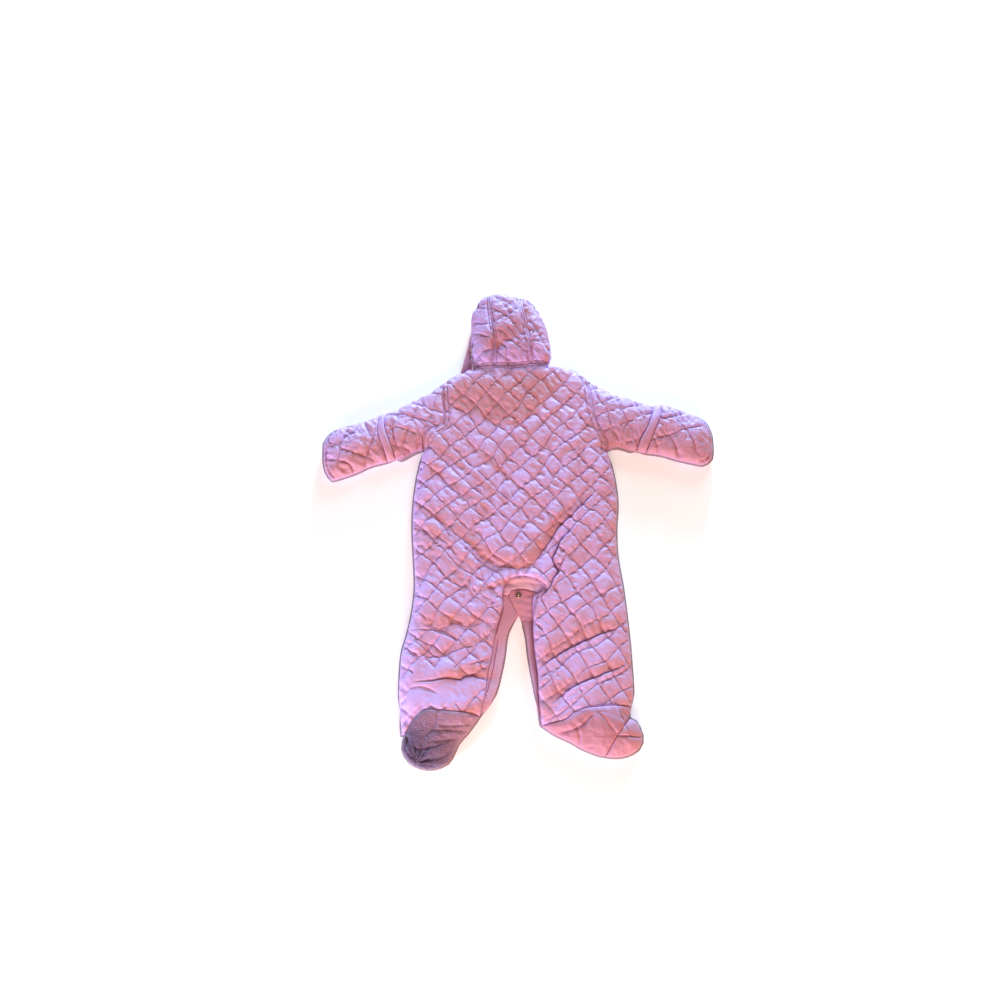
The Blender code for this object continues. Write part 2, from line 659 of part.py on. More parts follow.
def body():
    outline = Outline(
        *NECK_SEAMS, ("side", SHOULDER_RIGHT), ("seam", ARMHOLE_RIGHT), ("side", SIDE_RIGHT),
        ("seam", HEEL_RIGHT), ("hem", INNER_RIGHT), ("hem", TONGUE_RIGHT),
        ("hem", NOTCH_LOW), ("hem", NOTCH_HIGH), ("hem", ARCH), ("hem", INNER_LEFT),
        ("seam", HEEL_LEFT), ("side", HEEL_LEFT_END), ("side", SIDE_LEFT_FOOT), ("side", SIDE_LEFT),
        ("seam", ARMHOLE_LEFT), ("side", SHOULDER_LEFT))
    quilt = quilting(outline, (58, 225), lay=along_legs)
    upper("back", satin(), outline, body_crown, quilt, BACK_FOLDS)
    under("front_right", satin(), Outline(
        ("seam", CENTRE_FRONT), *NECK_SEAMS[2:], ("side", SHOULDER_RIGHT),
        ("seam", ARMHOLE_RIGHT), ("side", SIDE_RIGHT), ("seam", INSTEP_RIGHT_TOP),
        ("side", TAPE_RIGHT_FREE), ("side", TONGUE_FREE), peek=PEEK))
    under("front_left", satin(), Outline(
        ("seam", CENTRE_FRONT), *NECK_SEAMS[1::-1], ("side", SHOULDER_LEFT),
        ("seam", ARMHOLE_LEFT), ("side", SIDE_LEFT), ("seam", INSTEP_LEFT_TOP),
        ("side", TAPE_LEFT_FREE), peek=PEEK))


def crotch():
    facing = Outline(("plain", ARCH), ("plain", NOTCH_HIGH), ("low", FACING_LOW), ("low", FACING_LEFT))
    upper("crotch_facing", lining(), facing, level(FACING_TOP))
    tongue = Outline(("plain", FACING_LOW), ("low", TONGUE_LEFT), ("low", TONGUE_FREE),
                     ("plain", TONGUE_FOOT), ("plain", TONGUE_RIGHT), ("plain", NOTCH_LOW))
    upper("crotch_tongue", lining(), tongue, level(TONGUE_TOP))
    upper("tape_left", ribbing(), Outline(
        ("plain", FACING_LEFT), ("plain", TONGUE_LEFT), ("low", TAPE_LEFT_FREE),
        ("low", TAPE_LEFT_END), ("plain", INNER_LEFT)), level(TAPE_TOP))
    upper("tape_right", ribbing(), Outline(
        ("plain", TONGUE_FOOT), ("low", TAPE_RIGHT_FREE), ("low", TAPE_RIGHT_END),
        ("plain", INNER_RIGHT)), level(TAPE_TOP))
    snap()


def snap():
    """The stud half of a ring snap: a flange with a waisted stud, turned round its axis."""
    profile = ((0.0, SNAP.height), (SNAP.stud - 0.6, SNAP.height), (SNAP.stud, 2.3), (SNAP.stud - 0.3, 1.6),
               (SNAP.stud + 0.4, 1.1), (SNAP.flange - 0.5, 0.9), (SNAP.flange, 0.5), (SNAP.flange, 0.0),
               (0.0, 0.0))
    mesh = bpy.data.meshes.new("snap_stud")
    mesh.from_pydata([(radius * MM, 0.0, height * MM) for radius, height in profile],
                     [(i, i + 1) for i in range(len(profile) - 1)], [])
    mesh.materials.append(steel())
    stud = placed("snap_stud", mesh)
    stud.location = (SNAP.x * MM, SNAP.y * MM, (TONGUE_TOP + SEAM_GAP) * MM)
    turn = stud.modifiers.new("turned", "SCREW")
    turn.steps = turn.render_steps = 24
    turn.use_merge_vertices = True
    turn.merge_threshold = 0.00001


def feet():
    heel = Outline(("seam", HEEL_LEFT), ("side", SOLE_LEFT_EDGE))
    upper("sole_left", velour(), heel, foot_crown, folds=SOLE_LEFT_FOLDS)
    under("instep_left", satin(), Outline(
        ("seam", INSTEP_LEFT_TOP), ("side", SIDE_LEFT_FOOT), ("side", HEEL_LEFT_END),
        ("side", SOLE_LEFT_EDGE), ("side", TAPE_LEFT_END), peek=PEEK))
    sole = Outline(("seam", HEEL_RIGHT), ("side", SOLE_RIGHT_END), ("seam", TOE_SEAM),
                   ("side", SOLE_RIGHT_EDGE))
    upper("sole_right", satin(), sole, foot_crown, folds=SOLE_RIGHT_FOLDS)
    upper("toe_right", satin(), Outline(("seam", TOE_SEAM), ("side", TOE_EDGE)), foot_crown)
    under("instep_right", satin(), Outline(
        ("seam", INSTEP_RIGHT_TOP), ("side", SOLE_RIGHT_END), ("side", TOE_EDGE),
        ("side", SOLE_RIGHT_EDGE), ("side", TAPE_RIGHT_END), peek=PEEK))


def arm(limb):
    wrapped("sleeve_" + limb.side, satin(), limb.fold,
            (("seam", limb.band_in), ("side", limb.low), ("seam", limb.armhole)),
            (("seam", limb.armhole), ("side", limb.under), ("seam", limb.band_in)),
            level(SLEEVE_CROWN), lambda top: quilting(top, limb.fold[0], angle=limb.angle))
    upper("band_" + limb.side, satin(), Outline(
        ("hem", limb.band_in), ("side", limb.band_top), ("seam", limb.band_out),
        ("side", limb.band_low)), level(BAND_CROWN))
    mitt = Outline(("seam", limb.band_out), ("side", limb.mitt_top), ("side", limb.mitt_end),
                   ("side", limb.mitt_low))
    upper("mitt_" + limb.side, satin(), mitt, level(MITT_CROWN),
          quilting(mitt, limb.band_out[0], size=MITT_QUILT, angle=limb.angle + MITT_TURN))
    under("palm_" + limb.side, satin(), Outline(
        ("seam", limb.band_in), ("side", limb.band_top), ("side", limb.mitt_top),
        ("side", limb.mitt_end), ("side", limb.mitt_low), ("side", limb.band_low), peek=PEEK))


def hood():
    def panel(name, fold, top_runs, under_runs):
        wrapped(name, satin(), fold, top_runs, under_runs, dome(HOOD_OUTSIDE),
                lambda top: quilting(top, (-10, 300), angle=-52), dome(HOOD_INSIDE), fold_kind="dome")

    panel("hood_centre", HOOD_TOP,
          (("seam", HOOD_SEAM_RIGHT), NECK_SEAMS[2], NECK_SEAMS[1], ("seam", HOOD_SEAM_LEFT)),
          (("seam", UNDER_SEAM_LEFT), ("side", FACE_TOP), ("seam", UNDER_SEAM_RIGHT)))
    panel("hood_left", HOOD_SIDE_LEFT,
          (NECK_SEAMS[0], ("seam", HOOD_SEAM_LEFT)),
          (("seam", UNDER_SEAM_LEFT), ("side", FACE_LEFT), ("seam", UNDER_NECK_LEFT)))
    panel("hood_right", HOOD_SIDE_RIGHT,
          (NECK_SEAMS[3], ("seam", HOOD_SEAM_RIGHT)),
          (("seam", UNDER_SEAM_RIGHT), ("side", FACE_RIGHT), ("seam", UNDER_NECK_RIGHT)))
    flap = Outline(("tab", FLAP), ("tab", FLAP_FOOT), ("plain", FLAP_SEAM))
    upper("hood_flap", satin(), flap, level(FLAP_CROWN), floor=0.0)


def centred(pieces):
    """Moves the finished pieces so that the origin is under the middle of the whole suit."""
    cloth = [piece for piece in pieces if not piece.modifiers]
    points = np.array([tuple(v.co) for piece in cloth for v in piece.data.vertices])
    middle = (points.min(axis=0) + points.max(axis=0)) / 2
    shift = Vector((-middle[0], -middle[1], 0.0))
    for piece in pieces:
        if piece in cloth:
            piece.data.transform(Matrix.Translation(shift))
        else:
            piece.location += shift


def main():
    for item in list(bpy.data.objects):
        bpy.data.objects.remove(item)
    group = bpy.data.collections.new("baby_snowsuit")
    bpy.context.scene.collection.children.link(group)
    body()
    crotch()
    feet()
    arm(ARM_RIGHT)
    arm(ARM_LEFT)
    hood()
    centred(list(group.objects))


main()
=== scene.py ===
import math

import bmesh
import bpy
import numpy as np
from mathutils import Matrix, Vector
from mathutils.geometry import delaunay_2d_cdt
from mathutils.kdtree import KDTree


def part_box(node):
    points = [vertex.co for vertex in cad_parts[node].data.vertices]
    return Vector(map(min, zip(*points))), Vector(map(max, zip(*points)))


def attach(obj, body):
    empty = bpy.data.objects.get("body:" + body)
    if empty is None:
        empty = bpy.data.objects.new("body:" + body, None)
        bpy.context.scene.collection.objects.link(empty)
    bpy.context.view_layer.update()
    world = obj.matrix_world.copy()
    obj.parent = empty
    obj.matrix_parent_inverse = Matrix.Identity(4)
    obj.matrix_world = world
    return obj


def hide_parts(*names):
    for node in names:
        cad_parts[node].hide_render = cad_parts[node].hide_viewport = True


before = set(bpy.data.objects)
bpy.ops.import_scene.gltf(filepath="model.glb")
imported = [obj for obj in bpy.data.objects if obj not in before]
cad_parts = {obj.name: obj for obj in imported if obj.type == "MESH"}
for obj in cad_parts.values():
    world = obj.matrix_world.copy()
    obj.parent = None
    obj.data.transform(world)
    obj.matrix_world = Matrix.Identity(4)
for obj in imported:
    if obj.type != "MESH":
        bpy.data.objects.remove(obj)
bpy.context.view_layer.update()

MM = 0.001

# Plan coordinates are millimetres with the snap at SNAP_PLAN; HOME takes them to the frame.
SNAP_PLAN = (1.0, -103.0)
low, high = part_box("snap_stud")
HOME = np.array([(low[k] + high[k]) / 2 / MM - SNAP_PLAN[k] for k in range(2)] + [0.0])

LAP = 9.15
CROWN = 22.0
FOOT_RISE = 1.5
GROOVE = 4.0
GROOVE_WIDTH = 3.5
BULGES = ((0, -35, 60, 1.5), (95, -120, 45, 3.0), (-100, -130, 45, 2.5), (-105, -235, 40, 3.0),
          (100, -235, 40, 3.0), (-10, 170, 80, 1.0))
LEG_TURNS = ((85, -60, 1, -12, 1.0), (-90, -60, -1, 7, 0.88))
LEG_BLEND = 45.0
SLANT = ((-95.0, 70.0), (80.0, 110.0), (0.123, -0.169))
ALONG_SLANT = np.array([0.743, 0.669])
# side of a quilted diamond, and the steps of the mesh along it above and below
QUILT = 25.4
STEPS = 16
COARSE = 8
# how many points are compared with a line at once
CHUNK = 6000
ROLL_CHUNK = 20000
# how close the mesh's points may come to the edge of a face, above and below
TOP_MARGIN = 0.9
BOTTOM_MARGIN = 1.4
LINE_MARGIN = 1.2


def ramp(value):
    value = np.clip(value, 0, 1)
    return value * value * (3 - 2 * value)


def bell(away, width):
    return np.exp(-(away / width) ** 2)


def mound(where, centre, radii):
    """1 at the centre of an ellipse, fading away round it."""
    return np.exp(-(((where - centre) / radii) ** 2).sum(axis=1))


def turned(points, degrees):
    turn = math.radians(degrees)
    c, s = math.cos(turn), math.sin(turn)
    return points @ np.array([[c, s], [-s, c]])


def rolling(where, seed, length, depth):
    """Smooth random relief of about the given wavelength and depth."""
    rng = np.random.default_rng(seed)
    out = np.zeros(len(where))
    for _ in range(14):
        angle, phase = rng.uniform(0, 2 * math.pi, 2)
        scale = length * rng.uniform(0.7, 1.6)
        out += np.sin(where @ np.array([math.cos(angle), math.sin(angle)]) * 2 * math.pi / scale + phase)
    return depth * out / math.sqrt(7)


def along_legs(points):
    moved = points.copy()
    for x, y, side, angle, squeeze in LEG_TURNS:
        hip = np.array([x, y])
        below = ramp((y + LEG_BLEND - points[:, 1]) / (2 * LEG_BLEND))
        beside = ramp(side * points[:, 0] / LEG_BLEND + 0.1)
        rest = points - hip
        moved += (turned(rest, angle) * np.array([1, squeeze]) - rest) * (below * beside)[:, None]
    return moved


def slanted(points):
    """The quilting of the left side of the body, where one set of lines lies flatter."""
    centre, radii, lean = (np.array(v) for v in SLANT)
    along = (points - centre) @ ALONG_SLANT
    return points + (mound(points, centre, radii) * along)[:, None] * lean


# ---------------------------------------------------------------- plan geometry
def distance(where, segments):
    """Distance of each point from the nearest of the segments."""
    starts, run = segments[:, 0], segments[:, 1] - segments[:, 0]
    span = (run * run).sum(axis=1)
    out = []
    for k in range(0, len(where), CHUNK):
        x = where[k:k + CHUNK, 0:1] - starts[:, 0]
        y = where[k:k + CHUNK, 1:2] - starts[:, 1]
        t = np.clip((x * run[:, 0] + y * run[:, 1]) / span, 0, 1)
        out.append(np.sqrt(((x - t * run[:, 0]) ** 2 + (y - t * run[:, 1]) ** 2).min(axis=1)))
    return np.concatenate(out)


def inside(where, segments):
    starts, stops = segments[:, 0], segments[:, 1]
    rise = np.where(stops[:, 1] == starts[:, 1], 1e-9, stops[:, 1] - starts[:, 1])
    out = []
    for k in range(0, len(where), CHUNK):
        x, y = where[k:k + CHUNK, 0:1], where[k:k + CHUNK, 1:2]
        straddles = (starts[:, 1] > y) != (stops[:, 1] > y)
        crossing = starts[:, 0] + (y - starts[:, 1]) * (stops[:, 0] - starts[:, 0]) / rise
        out.append((straddles & (x < crossing)).sum(axis=1) % 2 == 1)
    return np.concatenate(out)


def kept_inside(points, segments, margin):
    """The points that lie inside the segments and further than the margin from them."""
    points = points[inside(points, segments)]
    return points[distance(points, segments) > margin]


def closed(loop):
    """The segments round a closed loop."""
    return np.stack((loop, np.roll(loop, -1, axis=0)), axis=1)


def segments_of(line):
    line = np.asarray(line, float)
    return np.stack((line[:-1], line[1:]), axis=1)


def smooth_line(points, step):
    knots = np.array(points, float)
    if len(knots) > 2:
        ring = np.vstack((2 * knots[0] - knots[1], knots, 2 * knots[-1] - knots[-2]))
        t = np.linspace(0, 1, 12, endpoint=False)[:, None]
        runs = [0.5 * (2 * b + (c - a) * t + (2 * a - 5 * b + 4 * c - d) * t ** 2
                       + (3 * b - a - 3 * c + d) * t ** 3)
                for a, b, c, d in zip(ring, ring[1:], ring[2:], ring[3:])]
        knots = np.vstack(runs + [knots[-1:]])
    return resampled(knots, step)


def resampled(line, step):
    arc = np.concatenate(([0], np.cumsum(np.linalg.norm(np.diff(line, axis=0), axis=1))))
    where = np.linspace(0, arc[-1], max(1, round(arc[-1] / step)) + 1)
    return np.column_stack([np.interp(where, arc, line[:, k]) for k in range(line.shape[1])])


def sides_of(line):
    run = np.gradient(line, axis=0)
    run /= np.linalg.norm(run, axis=1)[:, None]
    return np.column_stack((-run[:, 1], run[:, 0]))


# ---------------------------------------------------------------- the CAD pieces
class Cap:
    """The outer face of a CAD piece above or below its edge, and the loop round it."""

    def __init__(self, faces):
        self.faces = faces
        self.kept = set(faces)
        self.edges = self.rim()

    def rim(self):
        return [e for f in self.faces for e in f.edges if sum(g in self.kept for g in e.link_faces) == 1]

    def ordered(self):
        around = {}
        for e in self.edges:
            for v in e.verts:
                around.setdefault(v, []).append(e.other_vert(v))
        start = self.edges[0].verts[0]
        loop, last, here = [start], None, start
        while True:
            ahead = [v for v in around[here] if v is not last]
            here, last = ahead[0], here
            if here is start:
                break
            loop.append(here)
        plan = np.array([v.co[:2] for v in loop])
        after = np.roll(plan, -1, axis=0)
        if (plan[:, 0] * after[:, 1] - plan[:, 1] * after[:, 0]).sum() < 0:
            loop.reverse()
        return loop

    def split(self, longest):
        fine = []
        for edge in self.rim():
            count = math.ceil(edge.calc_length() / longest)
            here, end = edge.verts
            for k in range(count - 1):
                made, point = bmesh.utils.edge_split(edge, here, 1 / (count - k))
                ahead = [e for e in (made, edge) if end in e.verts][0]
                behind = made if ahead is edge else edge
                fine.append(behind)
                edge, here = ahead, point
            fine.append(edge)
        self.edges = fine


class Piece:
    def __init__(self, name):
        self.name = name
        self.bm = bmesh.new()
        self.bm.from_mesh(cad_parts[name].data)
        # painted shade: how far each point's colour is darkened towards a shade colour
        self.layer = self.bm.verts.layers.float.new("painted_shade")
        self.pale = self.bm.verts.layers.float.new("pale")
        self.tone = self.bm.verts.layers.float.new("tone")
        bmesh.ops.remove_doubles(self.bm, verts=self.bm.verts, dist=1e-6)
        for v in self.bm.verts:
            v.co = Vector(np.array(v.co) / MM - HOME)
        self.bm.normal_update()
        top, bottom = [], []
        for f in self.bm.faces:
            z = [v.co.z for v in f.verts]
            if f.normal.z > 0.04 and min(z) >= LAP - 0.02 and max(z) > LAP + 0.5:
                top.append(f)
            elif f.normal.z < -0.04 and max(z) <= LAP + 0.01 and min(z) < 8.9:
                bottom.append(f)
        self.top = Cap(top) if top else None
        self.bottom = Cap(bottom) if bottom else None
        for v in self.bm.verts:
            # painted shade: the under pieces, and the strip of the sleeves that wraps under, take the
            # under-side shade colour
            v[self.pale] = float(not self.top or (name.startswith("sleeve") and v.co.z < LAP + 0.02))
            # painted light and shade tone, 0.5 where nothing is painted
            v[self.tone] = 0.5
        if self.top:
            loop = self.top.ordered()
            self.loop = np.array([v.co for v in loop])


PIECES = {name: Piece(name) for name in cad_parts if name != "snap_stud"}
CLOSURE = ("crotch_facing", "crotch_tongue", "tape_left", "tape_right")


TOPS = {name: closed(p.loop) for name, p in PIECES.items() if p.top}
for name, edges in TOPS.items():
    piece = PIECES[name]
    middle = edges.mean(axis=1)
    nearest, gap = np.full(len(edges), "", object), np.full(len(edges), 0.8)
    for other, theirs in TOPS.items():
        if other != name:
            away = distance(middle[:, :2], theirs[:, :, :2])
            closer = away < gap
            nearest[closer], gap[closer] = other, away[closer]
    kinds = []
    for edge, other in zip(edges, nearest):
        if edge[:, 2].max() < 9.5:
            kinds.append("fold")
        elif not other:
            kinds.append("low" if name in CLOSURE else "tab" if name == "hood_flap" else "side")
        elif name in CLOSURE or "hood_flap" in (name, other):
            kinds.append("plain")
        elif name == "back" and other in CLOSURE:
            kinds.append("hem")
        elif name.startswith("band") and other.startswith("sleeve"):
            kinds.append("hem")
        else:
            kinds.append("seam")
    piece.kinds, piece.beside = np.array(kinds), nearest

SILHOUETTE = np.vstack([edges[np.isin(PIECES[name].kinds, ("side", "fold"))][:, :, :2]
                        for name, edges in TOPS.items()])
SEAMS = np.vstack([edges[PIECES[name].kinds == "seam"][:, :, :2] for name, edges in TOPS.items()])
SEAM_EASE = 2.2
HOOD = ("hood_centre", "hood_left", "hood_right")
HOOD_SIDES = np.vstack([TOPS[n][PIECES[n].kinds == "fold"][:, :, :2] for n in HOOD])
HOOD_NECK = np.vstack([TOPS[n][PIECES[n].beside == "back"][:, :, :2] for n in HOOD])
SOFT_SEAMS = np.vstack((HOOD_NECK, TOPS["sole_right"][PIECES["sole_right"].kinds == "seam"][:, :, :2]))
ROUNDS = {"side": (LAP + 1.2, 17.0), "fold": (LAP, 17.0), "hem": (15.5, 6.0), "low": (11.0, 3.0),
          "tab": (2.5, 8.0)}


def seam_between(name, other):
    """The run of a piece's top loop that is sewn to another piece."""
    piece = PIECES[name]
    chosen = piece.beside == other
    count = len(chosen)
    first = [i for i in range(count) if chosen[i] and not chosen[i - 1]][0]
    line = [piece.loop[first, :2]]
    while chosen[first % count]:
        first += 1
        line.append(piece.loop[first % count, :2])
    return np.array(line)


# ---------------------------------------------------------------- heights
def rounded(away, width, foot, top):
    u = 1 - np.minimum(away, width) / width
    return foot + (top - foot) * np.sqrt(np.maximum(0, 1 - u ** 2))


def flat_top(height):
    return lambda where: np.full(len(where), float(height))


def body_top(where):
    height = np.full(len(where), CROWN)
    for x, y, radius, rise in BULGES:
        height += rise * np.exp(-(((where - (x, y)) ** 2).sum(axis=1)) / radius ** 2)
    return height


def foot_top(where):
    return body_top(where) + FOOT_RISE


def hood_top(where):
    return np.minimum(rounded(distance(where, HOOD_SIDES), 46.0, LAP, 39.0),
                      24.0 + 15.0 * (1 - (1 - np.clip(distance(where, HOOD_NECK) / 46.0, 0, 1)) ** 1.5))


def base_height(piece, where, crown, broad=False):
    """The smooth outer face of a piece, without quilting and folds, and if broad without its seams."""
    segments = TOPS[piece.name][:, :, :2]
    top = crown(where)
    height = top.copy()
    for kind in sorted(set(piece.kinds) - {"plain"}):
        if broad and kind in ("seam", "hem"):
            continue
        away = distance(where, segments[piece.kinds == kind])
        if kind == "seam":
            height -= GROOVE * np.exp(-away / GROOVE_WIDTH)
        elif not (kind == "fold" and crown is hood_top):
            foot, width = ROUNDS[kind]
            if kind == "hem" and piece.name.startswith("band"):
                width = 2.6
            height = np.minimum(height, rounded(away, width, np.minimum(foot, top - 1.5), top))
    return height


class Fold:
    """A line over the suit, and where points lie from it."""

    def __init__(self, points, step):
        self.line = smooth_line(points, step)
        self.side = sides_of(self.line)

    def near(self, where, reach):
        low, high = self.line.min(axis=0) - reach, self.line.max(axis=0) + reach
        return np.flatnonzero(((where > low) & (where < high)).all(axis=1))

    def along(self, where, stride=1):
        """For each point its place on the line, its distance, and how far it lies to the left."""
        step = ((where[:, None] - self.line[None, ::stride]) ** 2).sum(axis=2).argmin(axis=1) * stride
        hand = ((where - self.line[step]) * self.side[step]).sum(axis=1)
        return step, distance(where, segments_of(self.line)), hand


class Roll(Fold):
    """A broad fold: cloth that rises on one side of a line, and a hollow along it."""

    def __init__(self, rise, face, run, hollow, points):
        super().__init__(points, 3.0)
        self.rise, self.face, self.run, self.hollow = rise, face, run, hollow

    def at(self, where):
        out = np.zeros(len(where))
        chosen = self.near(where, self.face + 2.2 * self.run)
        for k in range(0, len(chosen), ROLL_CHUNK):
            near = chosen[k:k + ROLL_CHUNK]
            step, away, hand = self.along(where[near])
            ahead = np.where(hand > 0, away, 0)
            fade = np.sin(math.pi * step / (len(self.line) - 1)) ** 0.6
            up = ramp(ahead / self.face) * np.exp(-(np.maximum(ahead - self.face, 0) / self.run) ** 1.4)
            out[near] = fade * (self.rise * up - self.hollow * np.exp(-(away / 8) ** 1.5))
        return out


# rise, width of its slope, length of its back, depth of the hollow, line (the rise is on the left of it)
ROLLS = [Roll(*row) for row in (
    (5.0, 22, 55, 3.5, ((-160, 30), (-135, 15), (-113, 3), (-93, -12), (-75, -26), (-57, -44), (-45, -53),
                        (-30, -61), (-14, -66), (3, -66), (20, -61), (34, -43), (50, -22), (65, 0), (81, 15),
                        (99, 34), (120, 56))),
    (2.4, 10, 12, 2.2, ((-158, 6), (-132, -8), (-108, -24), (-88, -49), (-73, -61), (-58, -70))),
    (1.6, 10, 14, 1.2, ((-152, -24), (-129, -38), (-104, -60), (-84, -84), (-70, -98))),
    (4.6, 8, 13, 0.3, ((-60, -106), (-38, -96), (-14, -88), (12, -86), (34, -90), (48, -104))),
    (1.7, 9, 10, 1.2, ((-152, 112), (-100, 68), (-50, 25), (-18, -2))),
    (1.7, 9, 10, 1.2, ((-145, 144), (-90, 98), (-40, 52), (2, 12))),
    (1.5, 9, 10, 1.1, ((-118, 168), (-60, 118), (-10, 70), (28, 36))),
    (0.8, 9, 10, 0.6, ((18, 148), (60, 185), (104, 228))),
    (0.8, 9, 10, 0.6, ((40, 124), (80, 160), (122, 200))),
    (2.8, 24, 22, 1.6, ((-162, -142), (-130, -150), (-113, -154), (-92, -150), (-69, -151), (-48, -147),
                        (-20, -138))),
    (1.4, 14, 16, 1.6, ((-168, -190), (-133, -194), (-108, -194), (-89, -186), (-71, -182), (-40, -174))),
    (3.2, 17, 14, 3.0, ((-112, -232), (-95, -227), (-83, -226), (-70, -223), (-30, -226))),
    (2.4, 24, 30, 2.4, ((24, -215), (49, -197), (71, -184), (92, -173), (103, -169), (127, -159),
                        (158, -147))),
    (2.0, 18, 20, 2.4, ((40, -262), (53, -253), (79, -236), (112, -222), (129, -215), (152, -206))),
    (6.0, 30, 16, 0.4, ((-38, -232), (-80, -236), (-122, -240), (-168, -244))),
    (6.0, 52, 20, 0.0, ((34, -296), (70, -318), (112, -334), (160, -334), (182, -318))),
    (1.8, 12, 16, 1.0, ((60, 110), (80, 118), (100, 132), (118, 136))),
    (7.5, 68, 36, 1.4, ((-175, 214), (-125, 200), (-70, 184), (-8, 163), (30, 186), (62, 216), (90, 250))),
)]
# painted shadow: where the satin is painted towards salmon, on the upper back in the shadow of the hood and
# on the right foot, as folds of height 1
PAINTED_SHADOWS = [Roll(1.0, 16, *row) for row in (
    (110, 0, ((-165, 236), (-120, 205), (-70, 184), (-8, 160), (30, 184), (66, 220), (98, 275))),
    (90, 0, ((204, -300), (172, -274), (124, -262), (94, -258), (60, -278), (20, -296))),
)]
PAINTED_SHADOW_DEPTH = 0.5
# painted light and shade in patches, where the light falls otherwise: centre, radii, change of the painted
# tone
PAINTED_LIGHT_PATCHES = (((-105, -254), (52, 22), 0.35), ((-168, -225), (24, 95), 0.5), ((168, -290), (32, 22), -0.8),
       ((48, 298), (36, 26), 0.45), ((-45, 285), (28, 14), 0.4), ((-12, -86), (48, 13), 0.4))
ARM_SWELL = 5.0
# offset towards the hood end and a little left, where the cool lamps shine from, and how strongly slope is
# painted as light or shade
AHEAD = np.array([-1.2, 4.8])
LEAN = 2.0
# centre and radii of the left ankle, which has no quilting
SLACK = ((-112.0, -236.0), (56.0, 27.0))
# where the painted shade of the quilting lines is fainter: centre, radii, how much less
FAINTER_LINE_SHADE = (((-105, -190), (72, 115), 0.55), ((-60, -98), (38, 36), 0.7), ((108, -250), (66, 30), 0.75))


def rounder(where, away):
    """How far the puffed suit lies off its solids towards its outline: arms and feet are the roundest."""
    arm = ramp((np.abs(where[:, 0]) - 112) / 36) * ramp((where[:, 1] - 80) / 30)
    foot = ramp((-245 - where[:, 1]) / 30)
    neck = ramp((where[:, 1] - 236) / 22) * ramp((95 - np.abs(where[:, 0])) / 15)
    puffy = rounded(away, 27 + 18 * arm + 9 * foot, LAP + 1.2, 22 + ARM_SWELL * arm)
    return (puffy - rounded(away, 17, LAP + 1.2, 22)) * (1 - neck)


def unevenness(where, ease=SEAM_EASE):
    """The gentle rise and fall of the whole suit, the same on both sides of a seam."""
    away = distance(where, SILHOUETTE)
    broad = sum(roll.at(where) for roll in ROLLS)
    broad += rolling(where, 3, 70, 0.7) + rolling(where, 4, 33, 0.4)
    eased = ease * (np.exp(-distance(where, SEAMS) / GROOVE_WIDTH)
                    + 0.5 * np.exp(-distance(where, SOFT_SEAMS) / GROOVE_WIDTH))
    return ramp(away / 18) * (broad + eased) + rounder(where, away)


def painted_light_tone_at(piece, where, form):
    """Painted light and shade: 1 (painted lilac, as if lit) where the broad form of the suit faces its hood
    end and the cool lamps, 0 (painted salmon, as if shaded) where it faces the feet, with painted shadow and
    painted patches of light and shade added.
    """
    ahead, behind = (base_height(piece, at, form, True) + unevenness(at, 0)
                     for at in (where + AHEAD, where - AHEAD))
    slope = (ahead - behind) / (2 * np.linalg.norm(AHEAD))
    # painted shadow of the hood on the upper back, and painted shade on the right foot
    painted_shadow = sum(roll.at(where) for roll in PAINTED_SHADOWS) * ramp((268 - where[:, 1]) / 8)
    # painted light and shade in patches
    painted_patches = sum(change * mound(where, centre, radii) for centre, radii, change in PAINTED_LIGHT_PATCHES)
    return np.clip(0.5 - LEAN * slope - PAINTED_SHADOW_DEPTH * painted_shadow + painted_patches, 0, 1)


def quilt_line_shade_share(where):
    """How strongly the painted shade of the quilting lines shows: less on the left leg, the right ankle and
    beside the crotch.
    """
    faint = np.zeros(len(where))
    for centre, radii, share in FAINTER_LINE_SHADE:
        faint = np.maximum(faint, share * mound(where, centre, radii))
    return 1 - faint


# ---------------------------------------------------------------- cloth
def gathered(index, values, count):
    return np.column_stack([np.bincount(index, values[:, k], count) for k in range(3)])


def normals(point, faces):
    corner = point[faces]
    normal = np.cross(corner[:, 1] - corner[:, 0], corner[:, 2] - corner[:, 0])
    total = sum(gathered(faces[:, k], normal, len(point)) for k in range(3))
    return total / np.maximum(1e-9, np.linalg.norm(total, axis=1))[:, None]


RELAXING = 90
PUSH = 0.03
STIFF = 0.10


def puffed(plan, faces, pinned, lift, excess):
    """Cloth longer than its plan by excess, stitched down where pinned and pressed up from below."""
    pairs = np.sort(np.vstack((faces[:, [0, 1]], faces[:, [1, 2]], faces[:, [2, 0]])), axis=1)
    a, b = np.unique(pairs, axis=0).T
    count = len(plan)
    flat = np.column_stack((plan, np.zeros(count)))
    point = np.column_stack((plan, lift))
    rest = np.linalg.norm(plan[a] - plan[b], axis=1) * (1 + (excess[a] + excess[b]) / 2)
    degree = np.maximum(1, np.bincount(a, minlength=count) + np.bincount(b, minlength=count))[:, None]
    free = (~pinned)[:, None]
    for _ in range(RELAXING):
        out = normals(point, faces)
        shift = point - flat
        mean = (gathered(a, shift[b], count) + gathered(b, shift[a], count)) / degree
        point += free * (PUSH * out + STIFF * (mean - shift))
        for _ in range(2):
            run = point[b] - point[a]
            length = np.linalg.norm(run, axis=1)
            pull = run * (0.5 * (1 - rest / np.maximum(1e-6, length)))[:, None]
            point += free * 1.7 * (gathered(a, pull, count) - gathered(b, pull, count)) / degree
    return point - flat


